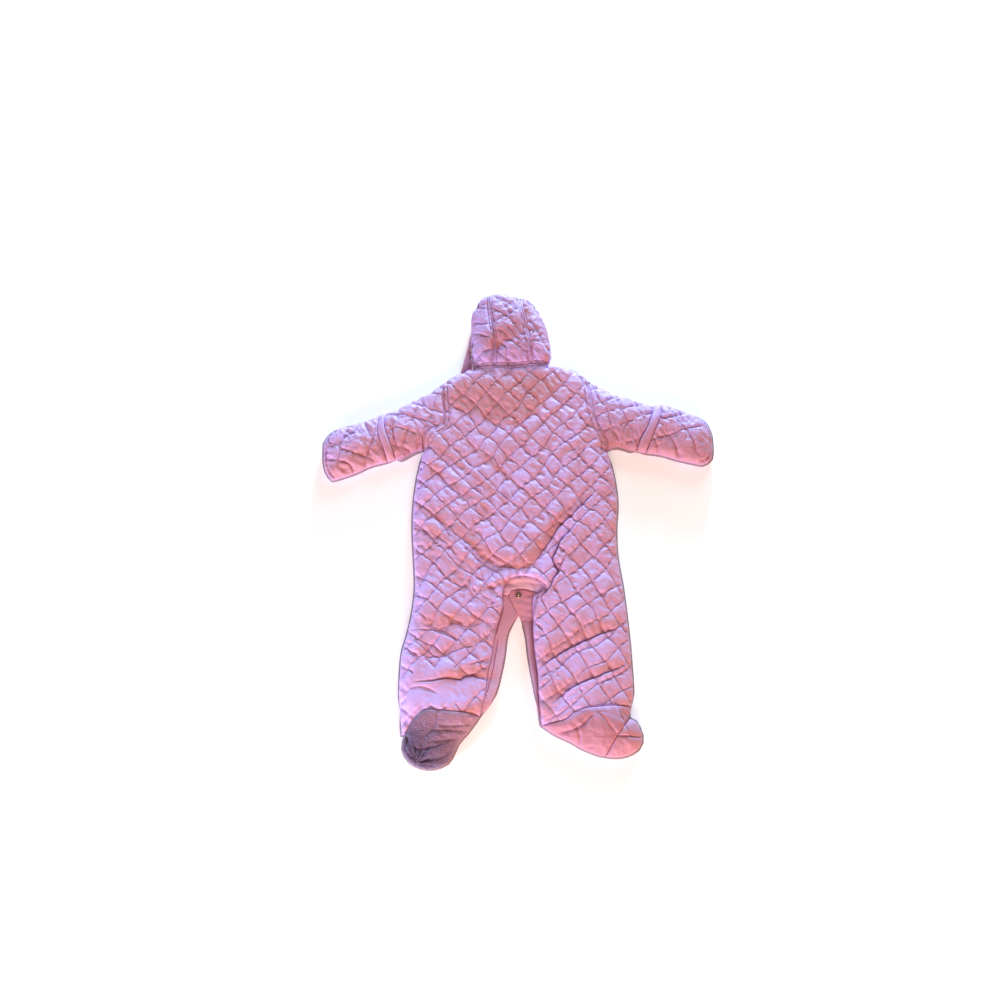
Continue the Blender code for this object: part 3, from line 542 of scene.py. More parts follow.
class Crease(Fold):
    """A fold of the cloth: a sharp slot in a wide valley, with a lip on one side of it (+1, -1)."""

    def __init__(self, slot, valley, lip, points, width):
        super().__init__(points, 1.5)
        self.slot, self.valley, self.lip, self.width = slot, valley, lip, width

    def rows(self):
        return np.vstack([self.line + self.side * offset * self.lip
                          for offset in (-2.6, -1.7, -0.9, 0, 0.5, 1.0, 1.6, 2.4, 3.3)])

    def bend(self, plan, point):
        near = self.near(plan, 40)
        if not len(near):
            return
        step, away, hand = self.along(plan[near], 2)
        fade = np.sin(math.pi * np.clip(step / (len(self.line) - 1), 0.03, 0.97)) ** 0.5
        lip = hand * self.lip > 0
        slot = np.where(lip, bell(away, 1.5), bell(away, 2.2))
        valley = np.exp(-(away / self.width) ** 1.5)
        shoulder = np.where(lip, 0.5, 0.25) * bell(away - 1.3 * self.width, self.width)
        point[near, 2] += fade * (self.valley * (shoulder - valley) - self.slot * slot
                                  + np.where(lip, 0.5 * self.slot * bell(away - 3.6, 2.4), 0))
        over = np.where(lip, ramp(away / 1.2) * bell(away - 1.2, 3.0), 0)
        point[near, :2] -= self.side[step] * (0.3 * self.slot * over * fade * self.lip)[:, None]

    # painted shade along the slot of the crease
    def shade(self, plan):
        near = self.near(plan, 8)
        out = np.zeros(len(plan))
        if len(near):
            step, away, _ = self.along(plan[near])
            fade = np.sin(math.pi * (step / (len(self.line) - 1))) ** 0.5
            out[near] = min(1.0, 0.12 + 0.16 * self.slot) * fade * bell(away, 1.2)
        return out


def line_dents(line, s, seed):
    """Narrow dents at uneven spacing along each stitch line."""
    pick = np.random.default_rng(seed).uniform(0, 2 * math.pi, (64, 5))[np.mod(line, 64).astype(int)]
    turn = s * 2 * math.pi
    warped = s + 1.6 * np.sin(turn / 17 + pick[:, 0]) + 0.8 * np.sin(turn / 7.3 + pick[:, 1])
    dents = np.abs(np.sin(math.pi * warped / 5.8 + pick[:, 2])) ** 0.7
    strength = 0.55 + 0.45 * np.sin(turn / 31 + pick[:, 3]) + 0.35 * np.sin(turn / 13 + pick[:, 4])
    return (dents - 0.62) * np.clip(strength, 0.05, 1.4)


def drawn_in(away):
    """How much a stitch line draws the cloth in at a distance from it."""
    return bell(away, 7.0) * np.clip(away + 0.15, 0, 1)


def puckers(index):
    """Small creases across the stitch lines, where the cloth is drawn together by them."""
    out = np.zeros(len(index))
    for axis in (0, 1):
        a, s = index[:, axis] / STEPS, index[:, 1 - axis] / STEPS * QUILT
        line = np.round(a)
        away = (a - line) * QUILT
        lean = 0.5 * np.sin(line * 2.3 + s / 9 + axis)
        out += line_dents(line + 37 * axis, s + lean * away, 5 + axis) * drawn_in(np.abs(away))
    return out


def rays(where, centre, radius, count, depth, seed=1):
    """Puckers that run out from one point."""
    rel = where - np.array(centre)
    away = np.linalg.norm(rel, axis=1)
    angle = np.arctan2(rel[:, 1], rel[:, 0])
    uneven = 0.5 * np.sin(3 * angle + seed) + 0.3 * np.sin(5 * angle + 2 * seed)
    ridge = np.abs(np.sin(count * angle / 2 + uneven * 2)) ** 0.7 - 0.6
    return depth * ridge * bell(away, radius) * ramp(away / 4)


def rayed(*rows):
    """A relief of puckers that run out from several points."""
    return lambda where: sum(rays(where, *row) for row in rows)


def pucker_along(where, lines):
    """The same creases across stitch lines that are given one by one."""
    nearest, out = np.full(len(where), 1e3), np.zeros(len(where))
    for k, line in enumerate(lines):
        square = ((where[:, None] - line[None]) ** 2).sum(axis=2)
        away, s = np.sqrt(square.min(axis=1)), square.argmin(axis=1) * 1.5
        value = line_dents(np.full(len(where), 3.0 * k + 1), s, 7) * drawn_in(away)
        closer = away < nearest
        out[closer], nearest[closer] = value[closer], away[closer]
    return out


def hexagons(segments, step, margin):
    low, high = segments.reshape(-1, 2).min(axis=0), segments.reshape(-1, 2).max(axis=0)
    rows = [(x + (k % 2) * step / 2, y) for k, y in enumerate(np.arange(low[1], high[1], step * 0.866))
            for x in np.arange(low[0], high[0], step)]
    return kept_inside(np.array(rows), segments, margin)


class Quilt:
    """Diamond quilting: where its lines run, in steps of a mesh that has them as its edges."""

    def __init__(self, origin, angle, steps=STEPS, legs=False, wobble=(7, 1.1)):
        self.origin, self.angle, self.steps = origin, angle, steps
        self.legs, self.wobble = legs, wobble

    def laid(self, marks):
        where = turned(marks * QUILT, self.angle) + np.array(self.origin)
        if self.legs:
            where = along_legs(slanted(where))
        seed, depth = self.wobble
        return where + np.column_stack((rolling(where, seed, 60, depth), rolling(where, seed + 1, 60, depth)))

    def field(self, segments, margin):
        corners = segments.reshape(-1, 2)
        marks = turned(corners - np.array(self.origin), -self.angle) / QUILT
        room = 4 if self.legs else 1
        low, high = np.floor(marks.min(axis=0)) - room, np.ceil(marks.max(axis=0)) + room
        i, j = np.meshgrid(np.arange(low[0] * self.steps, high[0] * self.steps),
                           np.arange(low[1] * self.steps, high[1] * self.steps), indexing="ij")
        index = np.column_stack((i.ravel(), j.ravel())).astype(int)
        where = self.laid(index / self.steps)
        box = ((where > corners.min(axis=0)) & (where < corners.max(axis=0))).all(axis=1)
        rows = kept_inside(np.column_stack((where[box], index[box])), segments, margin)
        return rows[:, :2], rows[:, 2:].astype(int)


def triangulated(loop, field):
    ring = list(range(len(loop)))
    points = [Vector(p) for p in np.vstack((loop, field))]
    edges = [(i, (i + 1) % len(loop)) for i in ring]
    _, _, faces, origin, _, _ = delaunay_2d_cdt(points, edges, [ring], 1, 1e-4)
    return np.array([[origin[v][0] for v in face] for face in faces])


def filled(piece, cap, loop, field_at, faces, painted_shade, tone=None):
    """Puts the fine face into the piece in place of the cap."""
    bm = piece.bm
    bmesh.ops.delete(bm, geom=cap.faces, context="FACES")
    verts = list(loop) + [bm.verts.new(p) for p in field_at]
    for k, v in enumerate(verts):
        v[piece.layer] = painted_shade[k]
        v[piece.tone] = 0.5 if tone is None else tone[k]
    for face in faces:
        try:
            bm.faces.new([verts[k] for k in face])
        except ValueError:
            pass


def fitted(field, index, points, segments, gap, clear):
    """The field where it is clear, and the points that fit into the face, with no quilting on them."""
    points = kept_inside(points, segments, LINE_MARGIN)
    points = points[spaced(points, gap)]
    return np.vstack((field[clear], points)), np.vstack((index[clear], np.full((len(points), 2), 1)))


def dress_top(piece, crown, quilt=None, creases=(), excess=0.041, step=1.6, strips=(), relief=None,
              pucker=2.1, crumple=0.9, lines=(), shades=(), ink=1.0, dim=0.0, form=None):
    """Makes the outer face again, finely: excess is how much longer the cloth is than its plan,
    pucker and crumple the depth of its small relief, the hollow-shade factor and dim how dark the painted
    shade in its hollows and over all of it is."""
    cap = piece.top
    cap.split(1.8)
    loop = cap.ordered()
    edge = np.array([v.co for v in loop])
    segments = closed(edge[:, :2])
    count = len(loop)
    if quilt:
        field, index = quilt.field(segments, TOP_MARGIN)
        if quilt.legs:
            index[(((field - SLACK[0]) / SLACK[1]) ** 2).sum(axis=1) < 1] = 1
    else:
        field = hexagons(segments, step, TOP_MARGIN)
        index = np.full((len(field), 2), 1)
    if creases:
        rows = np.vstack([c.rows() for c in creases])
        clear = distance(field, np.vstack([segments_of(c.line) for c in creases])) > 2.6
        field, index = fitted(field, index, rows, segments, 0.45, clear)
    along = np.zeros(len(field), bool)
    lines = [smooth_line(points, 1.5) for points in lines]
    if lines:
        clear = distance(field, np.vstack([segments_of(line) for line in lines])) > 1.1
        field, index = fitted(field, index, np.vstack(lines), segments, 0.8, clear)
        along = np.arange(len(field)) >= clear.sum()
    faces = triangulated(edge[:, :2], field)
    plan = np.vstack((edge[:, :2], field))
    height = base_height(piece, plan, crown)
    height[:count] = edge[:, 2]
    base = np.column_stack((plan, height + unevenness(plan)))
    painted_shade = np.zeros(len(plan))
    sewn = np.zeros(len(plan), bool)
    dents = np.zeros(len(plan))
    for line, depth, wide in strips:
        if depth:
            away = distance(plan, segments_of(line))
            sewn |= away < 0.9
            # painted shade along the topstitched strips
            painted_shade = np.maximum(painted_shade, 0.6 * depth * bell(away, 1.0))
    if quilt:
        on_line = index % STEPS == 0
        sewn[count:] |= on_line.any(axis=1)
        # painted shade along the quilting lines
        painted_shade[count:] = np.maximum(painted_shade[count:], 0.17 * on_line.any(axis=1))
        if quilt.legs:
            painted_shade *= quilt_line_shade_share(plan)
        dents[count:] = puckers(index)
    if lines:
        sewn[count:] |= along
        # painted shade along the single stitch lines
        painted_shade[count:] = np.maximum(painted_shade[count:], 0.5 * along)
        dents = pucker_along(plan, lines)
    point = base.copy()
    if excess:
        legs = ramp((-105 - plan[:, 1]) / 40)
        lift = np.where(sewn, 0.35 * legs - 1.1, -0.3) + 0.6 * pucker * dents * ~sewn
        if quilt:
            lift[count:][on_line.all(axis=1)] = -1.5
        lift[:count] = 0
        pinned = sewn.copy()
        pinned[:count] = True
        more = excess * (1 + 0.45 * rolling(plan, 31, 45, 1.0)).clip(0.4, 1.9)
        slack = mound(plan, *SLACK)
        more *= 1 - 0.6 * slack
        shift = puffed(plan, faces, pinned, lift, more)
        wrinkle = pucker * 0.9 * dents * (1 + 0.4 * rolling(plan, 32, 50, 1.0)).clip(0.3, 1.8)
        wrinkle -= crumple * (np.abs(rolling(plan, 51, 20, 1.0))
                              + 0.35 * np.abs(rolling(plan, 52, 9, 1.0)) - 0.6)
        wrinkle *= (1 - 0.5 * slack) * (1 - 0.3 * legs)
        wrinkle[:count] = 0
        out = normals(base, faces)
        point += out * (shift[:, 2:3] + (wrinkle * ramp(distance(plan, segments) / 3))[:, None])
        point[:, :2] += shift[:, :2]
    if relief:
        point[count:, 2] += relief(plan[count:])
    for line, depth, wide in strips:
        away = distance(plan[count:], segments_of(line))
        point[count:, 2] -= depth * bell(away, wide)
    moved = point.copy()
    for c in creases:
        c.bend(plan, moved)
        # painted shade in the slots of the creases
        painted_shade = np.maximum(painted_shade, c.shade(plan))
    calm = ramp(distance(plan, segments) / 4)[:, None]
    moved = point + (moved - point) * calm
    moved[:, 2] = np.maximum(moved[:, 2], np.minimum(point[:, 2], LAP + 1.2))
    for v, z in zip(loop, moved[:count, 2]):
        if v.co.z > LAP + 1.5:
            v.co.z = z
    # painted shade: hollows darkened by the hollow-shade factor, and all of the piece at least by dim
    painted_shade = np.maximum(painted_shade * ink, dim)
    # painted shade along the given lines: line, strength, width
    for line, strength, wide in shades:
        away = distance(plan, line if np.ndim(line) == 3 else segments_of(line))
        painted_shade = np.maximum(painted_shade, strength * bell(away, wide))
    filled(piece, cap, loop, moved[count:], faces, painted_shade, painted_light_tone_at(piece, plan, form or crown))
    piece.surface = (moved, index, count, quilt, lines + [np.asarray(line) for line, _, _ in strips])


def spaced(points, gap):
    """Indices of points that keep a gap from those chosen before them."""
    cells, chosen = {}, []
    for k, (x, y) in enumerate(points):
        cell = (int(x // gap), int(y // gap))
        around = [m for dx in (-1, 0, 1) for dy in (-1, 0, 1)
                  for m in cells.get((cell[0] + dx, cell[1] + dy), ())]
        if all((points[m, 0] - x) ** 2 + (points[m, 1] - y) ** 2 > gap * gap for m in around):
            cells.setdefault(cell, []).append(k)
            chosen.append(k)
    return chosen


# heights at which the rim of an under side runs
FEET_OF_RIM = (1.2, 7.95, 9.0, LAP)


def dress_bottom(piece, quilt=None):
    cap = piece.bottom
    cap.split(3.4)
    loop = cap.ordered()
    edge = np.array([v.co for v in loop])
    segments = closed(edge[:, :2])
    if quilt:
        coarse = Quilt(quilt.origin, quilt.angle, COARSE, quilt.legs, quilt.wobble)
        field, index = coarse.field(segments, BOTTOM_MARGIN)
    else:
        field = hexagons(segments, 3.2, BOTTOM_MARGIN)
        index = np.full((len(field), 2), 1)
    faces = triangulated(edge[:, :2], field)[:, ::-1]
    height = np.zeros(len(field))
    rim = (edge[:, 2] + np.roll(edge[:, 2], -1)) / 2
    for foot in FEET_OF_RIM:
        near = np.abs(rim - foot) < 0.03
        width = 3.0 if foot == 1.2 else 9.0
        if near.any():
            away = distance(field, segments[near])
            height = np.maximum(height, rounded(away, width, foot, 0.0))
    mixed = ~np.any([np.abs(rim - foot) < 0.03 for foot in FEET_OF_RIM], axis=0)
    for k in np.flatnonzero(mixed):
        away = distance(field, segments[k:k + 1])
        height = np.maximum(height, rounded(away, 6.0, rim[k], 0.0))
    seam = (index % COARSE == 0).any(axis=1) if quilt else np.zeros(len(field), bool)
    height[seam] += 0.9 * ramp(1 - height[seam] / 3)
    # painted shade along the quilting seams of an under piece
    painted_shade = np.concatenate((np.zeros(len(loop)), seam.astype(float)))
    filled(piece, cap, loop, np.column_stack((field, height)), faces, painted_shade)


BODY_QUILT = Quilt((58, 225), -45.0, legs=True, wobble=(7, 1.7))
ARM_QUILTS = {"right": ((114, 256), -68.0), "left": ((-120, 246), -16.0)}

# depth of the slot, depth of the valley, side of the lip, line, width of the valley
BACK_CREASES = [Crease(*row) for row in (
    (5.0, 2.5, 1, ((122, 58), (99, 34), (81, 15), (65, 0), (50, -22), (34, -43), (23, -59)), 9.0),
    (6.0, 4.5, 1, ((88, 3), (76, -12), (64, -27), (57, -42), (53, -52), (60, -70), (52, -82), (45, -98),
                   (29, -111)), 8.0),
    (2.5, 1.5, -1, ((72, -45), (64, -58), (59, -72)), 5.0),
    (4.5, 2.0, 1, ((156, -148), (127, -159), (103, -169), (92, -174), (71, -184), (49, -197),
                   (28, -212)), 9.0),
    (4.5, 2.0, 1, ((148, -206), (129, -215), (112, -222), (79, -236), (50, -256)), 9.0),
    (2.0, 1.5, -1, ((30, -226), (40, -218), (50, -212)), 5.0),
    (1.7, 1.5, -1, ((28, -240), (41, -230), (52, -224)), 5.0),
    (1.4, 1.5, -1, ((-45, -53), (-30, -62), (-14, -66), (3, -66), (22, -60)), 7.0),
    (1.4, 1.5, -1, ((-113, 3), (-93, -12), (-75, -27), (-57, -45)), 7.0),
    (1.2, 1.0, -1, ((-130, -150), (-113, -154), (-92, -148), (-69, -151), (-48, -146)), 7.0),
    (1.8, 1.2, -1, ((-153, -155), (-124, -157), (-99, -167), (-80, -175), (-68, -183)), 6.0),
    (1.6, 1.0, -1, ((-162, -190), (-133, -194), (-108, -195), (-89, -187), (-71, -181), (-50, -176)), 8.0),
    (1.6, 1.0, -1, ((-151, -171), (-135, -182), (-116, -194)), 6.0),
    (3.0, 1.5, -1, ((-146, -229), (-120, -228), (-100, -224), (-83, -227), (-70, -222), (-46, -228)), 8.0),
    (2.2, 1.0, 1, ((-70, -205), (-54, -201), (-36, -190)), 5.0),
    (2.6, 0.8, 1, ((-57, -203), (-48, -210), (-40, -203)), 4.0),
    (1.0, 1.5, 1, ((-78, -75), (-72, -93), (-58, -111), (-39, -121), (-22, -121)), 6.0),
    (0.8, 1.2, 1, ((-66, -91), (-50, -107), (-30, -114)), 5.0),
    (1.0, 1.5, 1, ((-55, -67), (-50, -81), (-39, -97), (-26, -104)), 5.0),
    (0.6, 1.4, 1, ((-161, -246), (-146, -236), (-126, -238), (-107, -251)), 7.0),
    (1.2, 1.0, -1, ((-158, -128), (-141, -132), (-128, -146)), 6.0),
    (1.0, 1.0, 1, ((70, 104), (86, 116), (104, 130), (118, 134)), 7.0),
)]
SLEEVE_RIGHT_CREASES = [Crease(*row) for row in (
    (2.0, 2.6, 1, ((165, 209), (163, 195), (172, 181), (174, 169), (168, 154), (169, 138)), 9.0),
    (1.0, 2.0, 1, ((175, 167), (182, 156), (184, 145), (180, 134)), 7.0),
    (1.0, 2.2, 1, ((136, 168), (148, 162), (152, 150), (150, 136)), 8.0),
    (0.8, 1.8, 1, ((157, 172), (162, 154), (160, 138)), 7.0),
    (0.6, 1.8, 1, ((130, 192), (141, 198), (155, 198), (160, 188)), 8.0),
    (0.8, 1.6, -1, ((178, 169), (189, 178), (203, 183)), 7.0),
    (0.6, 1.6, 1, ((196, 181), (202, 169), (202, 160)), 6.0),
)]
SLEEVE_LEFT_CREASES = [Crease(*row) for row in (
    (2.0, 2.6, 1, ((-192, 180), (-195, 164), (-191, 144), (-185, 130), (-179, 118)), 9.0),
    (0.8, 2.0, 1, ((-184, 179), (-175, 179), (-167, 187)), 8.0),
    (1.0, 2.2, -1, ((-153, 214), (-148, 205), (-137, 190), (-128, 187)), 8.0),
    (1.2, 2.4, 1, ((-148, 158), (-152, 147), (-149, 134)), 8.0),
    (0.6, 2.0, -1, ((-179, 164), (-172, 170), (-160, 174), (-145, 167)), 8.0),
    (0.6, 1.8, 1, ((-172, 176), (-168, 160), (-172, 142)), 7.0),
    (0.6, 1.6, 1, ((-163, 173), (-154, 161), (-156, 148)), 7.0),
)]
SOLE_LEFT_CREASES = [Crease(*row) for row in (
    (0.7, 1.4, -1, ((-110, -287), (-92, -288), (-68, -286)), 5.0),
    (0.7, 1.4, -1, ((-122, -295), (-93, -294), (-68, -296)), 5.0),
    (0.6, 1.4, -1, ((-127, -309), (-110, -308), (-86, -305)), 6.0),
    (1.0, 2.2, -1, ((-150, -311), (-140, -318), (-121, -317), (-100, -310)), 7.0),
    (0.6, 1.4, -1, ((-134, -334), (-115, -331), (-102, -327), (-94, -320)), 6.0),
    (1.2, 1.2, -1, ((-157, -300), (-152, -306), (-154, -318)), 4.0),
    (0.9, 1.6, 1, ((-112, -266), (-112, -278), (-118, -292), (-128, -304)), 8.0),
)]
SOLE_RIGHT_CREASES = [Crease(*row) for row in (
    (1.6, 1.0, 1, ((80, -290), (84, -303), (81, -314)), 5.0),
    (1.2, 1.0, 1, ((84, -317), (102, -313)), 4.0),
    (1.0, 0.8, 1, ((56, -304), (69, -307)), 4.0),
    (1.2, 1.0, 1, ((106, -268), (114, -277), (123, -286), (133, -298)), 5.0),
)]


HOOD_LINES = (
    ((-44, 377), (-29, 366), (-19, 357), (-11, 351), (-3, 343), (3, 333), (13, 318)),
    ((-19, 389), (-13, 383), (-6, 377), (2, 372), (9, 362), (12, 350)),
    ((-36, 399), (-23, 387), (-18, 377), (-11, 366)),
    ((-21, 314), (-10, 313), (-2, 307), (6, 301), (17, 294)),
    ((-28, 330), (-16, 322), (-6, 312)),
    ((-13, 335), (-2, 322), (6, 313), (15, 303)),
    ((21, 351), (30, 341), (39, 324), (44, 312)),
    ((1, 393), (7, 383), (14, 373), (16, 364)),
    ((21, 313), (30, 313), (42, 311)),
    ((-14, 354), (-10, 362), (-3, 369), (5, 374)),
    ((3, 308), (10, 314), (18, 319)),
    ((-38, 340), (-26, 352), (-17, 357)),
    ((-30, 312), (-20, 305), (-15, 296), (-16, 283), (-12, 272)),
    ((-33, 297), (-23, 288), (-13, 282), (-5, 272)),
    ((26, 294), (34, 283), (42, 272)),
    ((-70, 333), (-59, 326), (-44, 316)),
    ((-68, 381), (-56, 377), (-42, 372)),
    ((-66, 280), (-55, 292), (-40, 299)),
    ((-63, 287), (-52, 277), (-44, 270)),
    ((-66, 352), (-56, 345), (-43, 341)),
    ((24, 335), (33, 328), (41, 326)),
)
HOOD_ROLLS = [Roll(*row) for row in (
    (3.0, 28, 14, 3.5, ((-72, 311), (-58, 305), (-49, 300), (-39, 299), (-31, 300), (-23, 305), (-15, 313),
                        (8, 318))),
    (1.5, 10, 12, 2.5, ((27, 344), (23, 352), (21, 361), (16, 372))),
)]
MITT_LINES = {
    "left": (((-300, 140), (-284, 136), (-276, 129), (-262, 122), (-241, 115), (-215, 108), (-194, 102)),
             ((-267, 165), (-271, 146), (-276, 135), (-275, 121), (-277, 100)),
             ((-250, 168), (-257, 153), (-266, 150), (-273, 140)),
             ((-239, 169), (-231, 152), (-224, 143), (-203, 122)),
             ((-289, 108), (-266, 104), (-257, 98), (-250, 82)),
             ((-222, 160), (-226, 140), (-232, 118), (-236, 98))),
    "right": (((244, 196), (255, 173), (266, 158), (275, 139), (279, 122)),
              ((210, 143), (225, 147), (237, 150), (266, 160), (290, 165)),
              ((212, 148), (220, 132), (224, 116)),
              ((216, 182), (232, 178), (250, 182), (268, 190)),
              ((240, 150), (248, 132), (252, 118))),
}


def offset_line(name, other, away):
    """A line inside a piece, at a distance from the seam with another piece."""
    line = resampled(seam_between(name, other), 3.0)
    return line + sides_of(line) * away


def dress(name, crown, **how):
    piece = PIECES[name]
    if piece.top:
        dress_top(piece, crown, **how)
    if piece.bottom:
        dress_bottom(piece, how.get("quilt"))


def topstitched(name, other, *offsets):
    return [(offset_line(name, other, away), 0.55, 1.3) for away in offsets]


BACK_STRIPS = topstitched("back", "sleeve_right", 2.0, 8.5) + topstitched("back", "sleeve_left", 2.0, 8.5)
BACK_STRIPS += [(offset_line("back", name, 4.0), 0.3, 1.2) for name in HOOD]
INNER_RIGHT = np.vstack((((29, -108),), resampled(seam_between("tape_right", "back"), 2)))
INNER_RIGHT = INNER_RIGHT[np.argsort(-INNER_RIGHT[:, 1])]
INNER_LEFT = resampled(seam_between("tape_left", "back"), 2)
INNER_LEFT = INNER_LEFT[(INNER_LEFT[:, 1] < -118) & (INNER_LEFT[:, 1] > -160)]
# painted shade along the gaps between the legs and the tapes: line, strength, width
GAPS = [(INNER_RIGHT, 0.95, 1.6), (INNER_LEFT, 0.85, 1.4)]
dress("back", body_top, quilt=BODY_QUILT, creases=BACK_CREASES, strips=BACK_STRIPS, shades=GAPS, ink=0.85)
for name in ("front_right", "front_left"):
    dress_bottom(PIECES[name], BODY_QUILT)
PINCHES = {"right": ((231, 179), (266, 158)), "left": ((-243, 148), (-274, 131))}
# painted shade under the sleeves at the armpits: line, strength, width
ARMPITS = {"left": [(smooth_line(((-134, 166), (-138, 146), (-148, 128), (-176, 113)), 2), 0.55, 10)],
           "right": [(smooth_line(((136, 158), (140, 138), (156, 128), (200, 120)), 2), 0.4, 10)]}
# the last value is painted shade over all of the right sleeve, its band and, less, its mitt
for side, creases, dim in (("right", SLEEVE_RIGHT_CREASES, 0.17), ("left", SLEEVE_LEFT_CREASES, 0.0)):
    origin, angle = ARM_QUILTS[side]
    dress("sleeve_" + side, flat_top(21.0), quilt=Quilt(origin, angle, wobble=(13, 1.6)), creases=creases,
          excess=0.05, pucker=1.9, crumple=0.7, ink=0.6, dim=dim, shades=ARMPITS[side])
    dress("band_" + side, flat_top(22.5), excess=0.02, pucker=0, crumple=0.3, dim=dim)
    loop = PIECES["mitt_" + side].loop[:, :2]
    end = loop[np.abs(loop[:, 0]) > 285]
    end = end[np.argsort(end[:, 1])]
    outside = sides_of(end)
    outside *= np.sign(outside[:, :1]) * np.sign(end[:, :1])
    piping = end - outside * 5.0
    drawn = rayed(*[(pinch, 26, 15, 1.8, k) for k, pinch in enumerate(PINCHES[side])])
    dress("mitt_" + side, flat_top(21.5), excess=0.04, pucker=1.7, crumple=1.1, strips=[(piping, 1.0, 1.3)],
          relief=drawn, lines=MITT_LINES[side], ink=0.4, dim=0.8 * dim)
    dress_bottom(PIECES["palm_" + side], Quilt(origin, angle))


def hood_sides(where):
    dome = rounded(distance(where, HOOD_SIDES), 46.0, LAP, 39.0)
    return dome + 1.3 * sum(roll.at(where) for roll in HOOD_ROLLS)


def hood_relief(where):
    return (sum(roll.at(where) for roll in HOOD_ROLLS) + rays(where, (-35, 299), 24, 12, 2.2)
            + rays(where, (20, 312), 24, 13, 2.0, 2) + rays(where, (-42, 373), 16, 9, 1.0, 3))


for name in HOOD:
    strips = [line for other in HOOD + ("back",) if other in PIECES[name].beside
              for line in topstitched(name, other, 3.5)]
    # painted shade over all of the hood and towards its outer rim
    dress(name, hood_top, excess=0.045, pucker=2.3, crumple=1.0, strips=strips, relief=hood_relief,
          lines=HOOD_LINES, ink=0.7, dim=0.24, form=hood_sides, shades=[(HOOD_SIDES, 0.5, 11)])
# painted shade over the flap, which lies in the hood's shade
dress("hood_flap", flat_top(11.0), excess=0,
      shades=[(smooth_line(((-75, 345), (-80, 300), (-86, 262)), 2), 0.35, 30)])
dress("sole_left", foot_top, creases=SOLE_LEFT_CREASES, excess=0.015, pucker=0, crumple=0.7,
      relief=rayed(((-138, -336), 24, 15, 5.0), ((-122, -268), 14, 11, 0.9, 2)))
# dim: painted shade over all of the right sole, and below over the toe
dress("sole_right", foot_top, creases=SOLE_RIGHT_CREASES, excess=0.02, crumple=0.7, strips=[
    (smooth_line(((47, -298), (64, -296), (82, -290), (92, -283), (100, -275)), 2), 0.6, 1.4),
    (smooth_line(((56, -300), (76, -302), (92, -303), (119, -303), (132, -301)), 2), 0, 1),
    (smooth_line(((116, -293), (116, -308), (113, -316)), 2), 0, 1)],
      relief=rayed(((100, -268), 30, 10, 1.6), ((128, -322), 14, 9, 0.8, 2)), ink=0.35, dim=0.28)
dress("toe_right", foot_top, excess=0.02, crumple=0.6, strips=[
    (smooth_line(((135, -301), (150, -302), (165, -303)), 2), 0.5, 1.2)],
      relief=rayed(((135, -303), 16, 9, 1.0, 4)), ink=0.8, dim=0.18)
for name in ("instep_left", "instep_right"):
    dress_bottom(PIECES[name], BODY_QUILT)
dress("crotch_facing", flat_top(17.5), step=1.2, excess=0,
      relief=lambda where: rolling(where, 61, 16, 0.5),
      strips=[(offset_line("crotch_facing", "back", 2.2), 0.7, 0.8)])
# painted shade along the tongue's gap with the leg and where it goes in under the facing
dress("crotch_tongue", flat_top(12.8), step=1.2, excess=0, relief=lambda where: rolling(where, 62, 14, 0.4),
      shades=GAPS[:1] + [(smooth_line(((-22, -97), (-10, -94), (5, -93), (20, -97)), 2), 0.5, 3.0)])
# painted shade along the gaps beside the legs, and across the right tape from the leg's edge
dress("tape_left", flat_top(12.5), step=1.0, excess=0, shades=GAPS)
dress("tape_right", flat_top(12.5), step=1.0, excess=0, shades=[(INNER_RIGHT, 0.75, 6.0)])


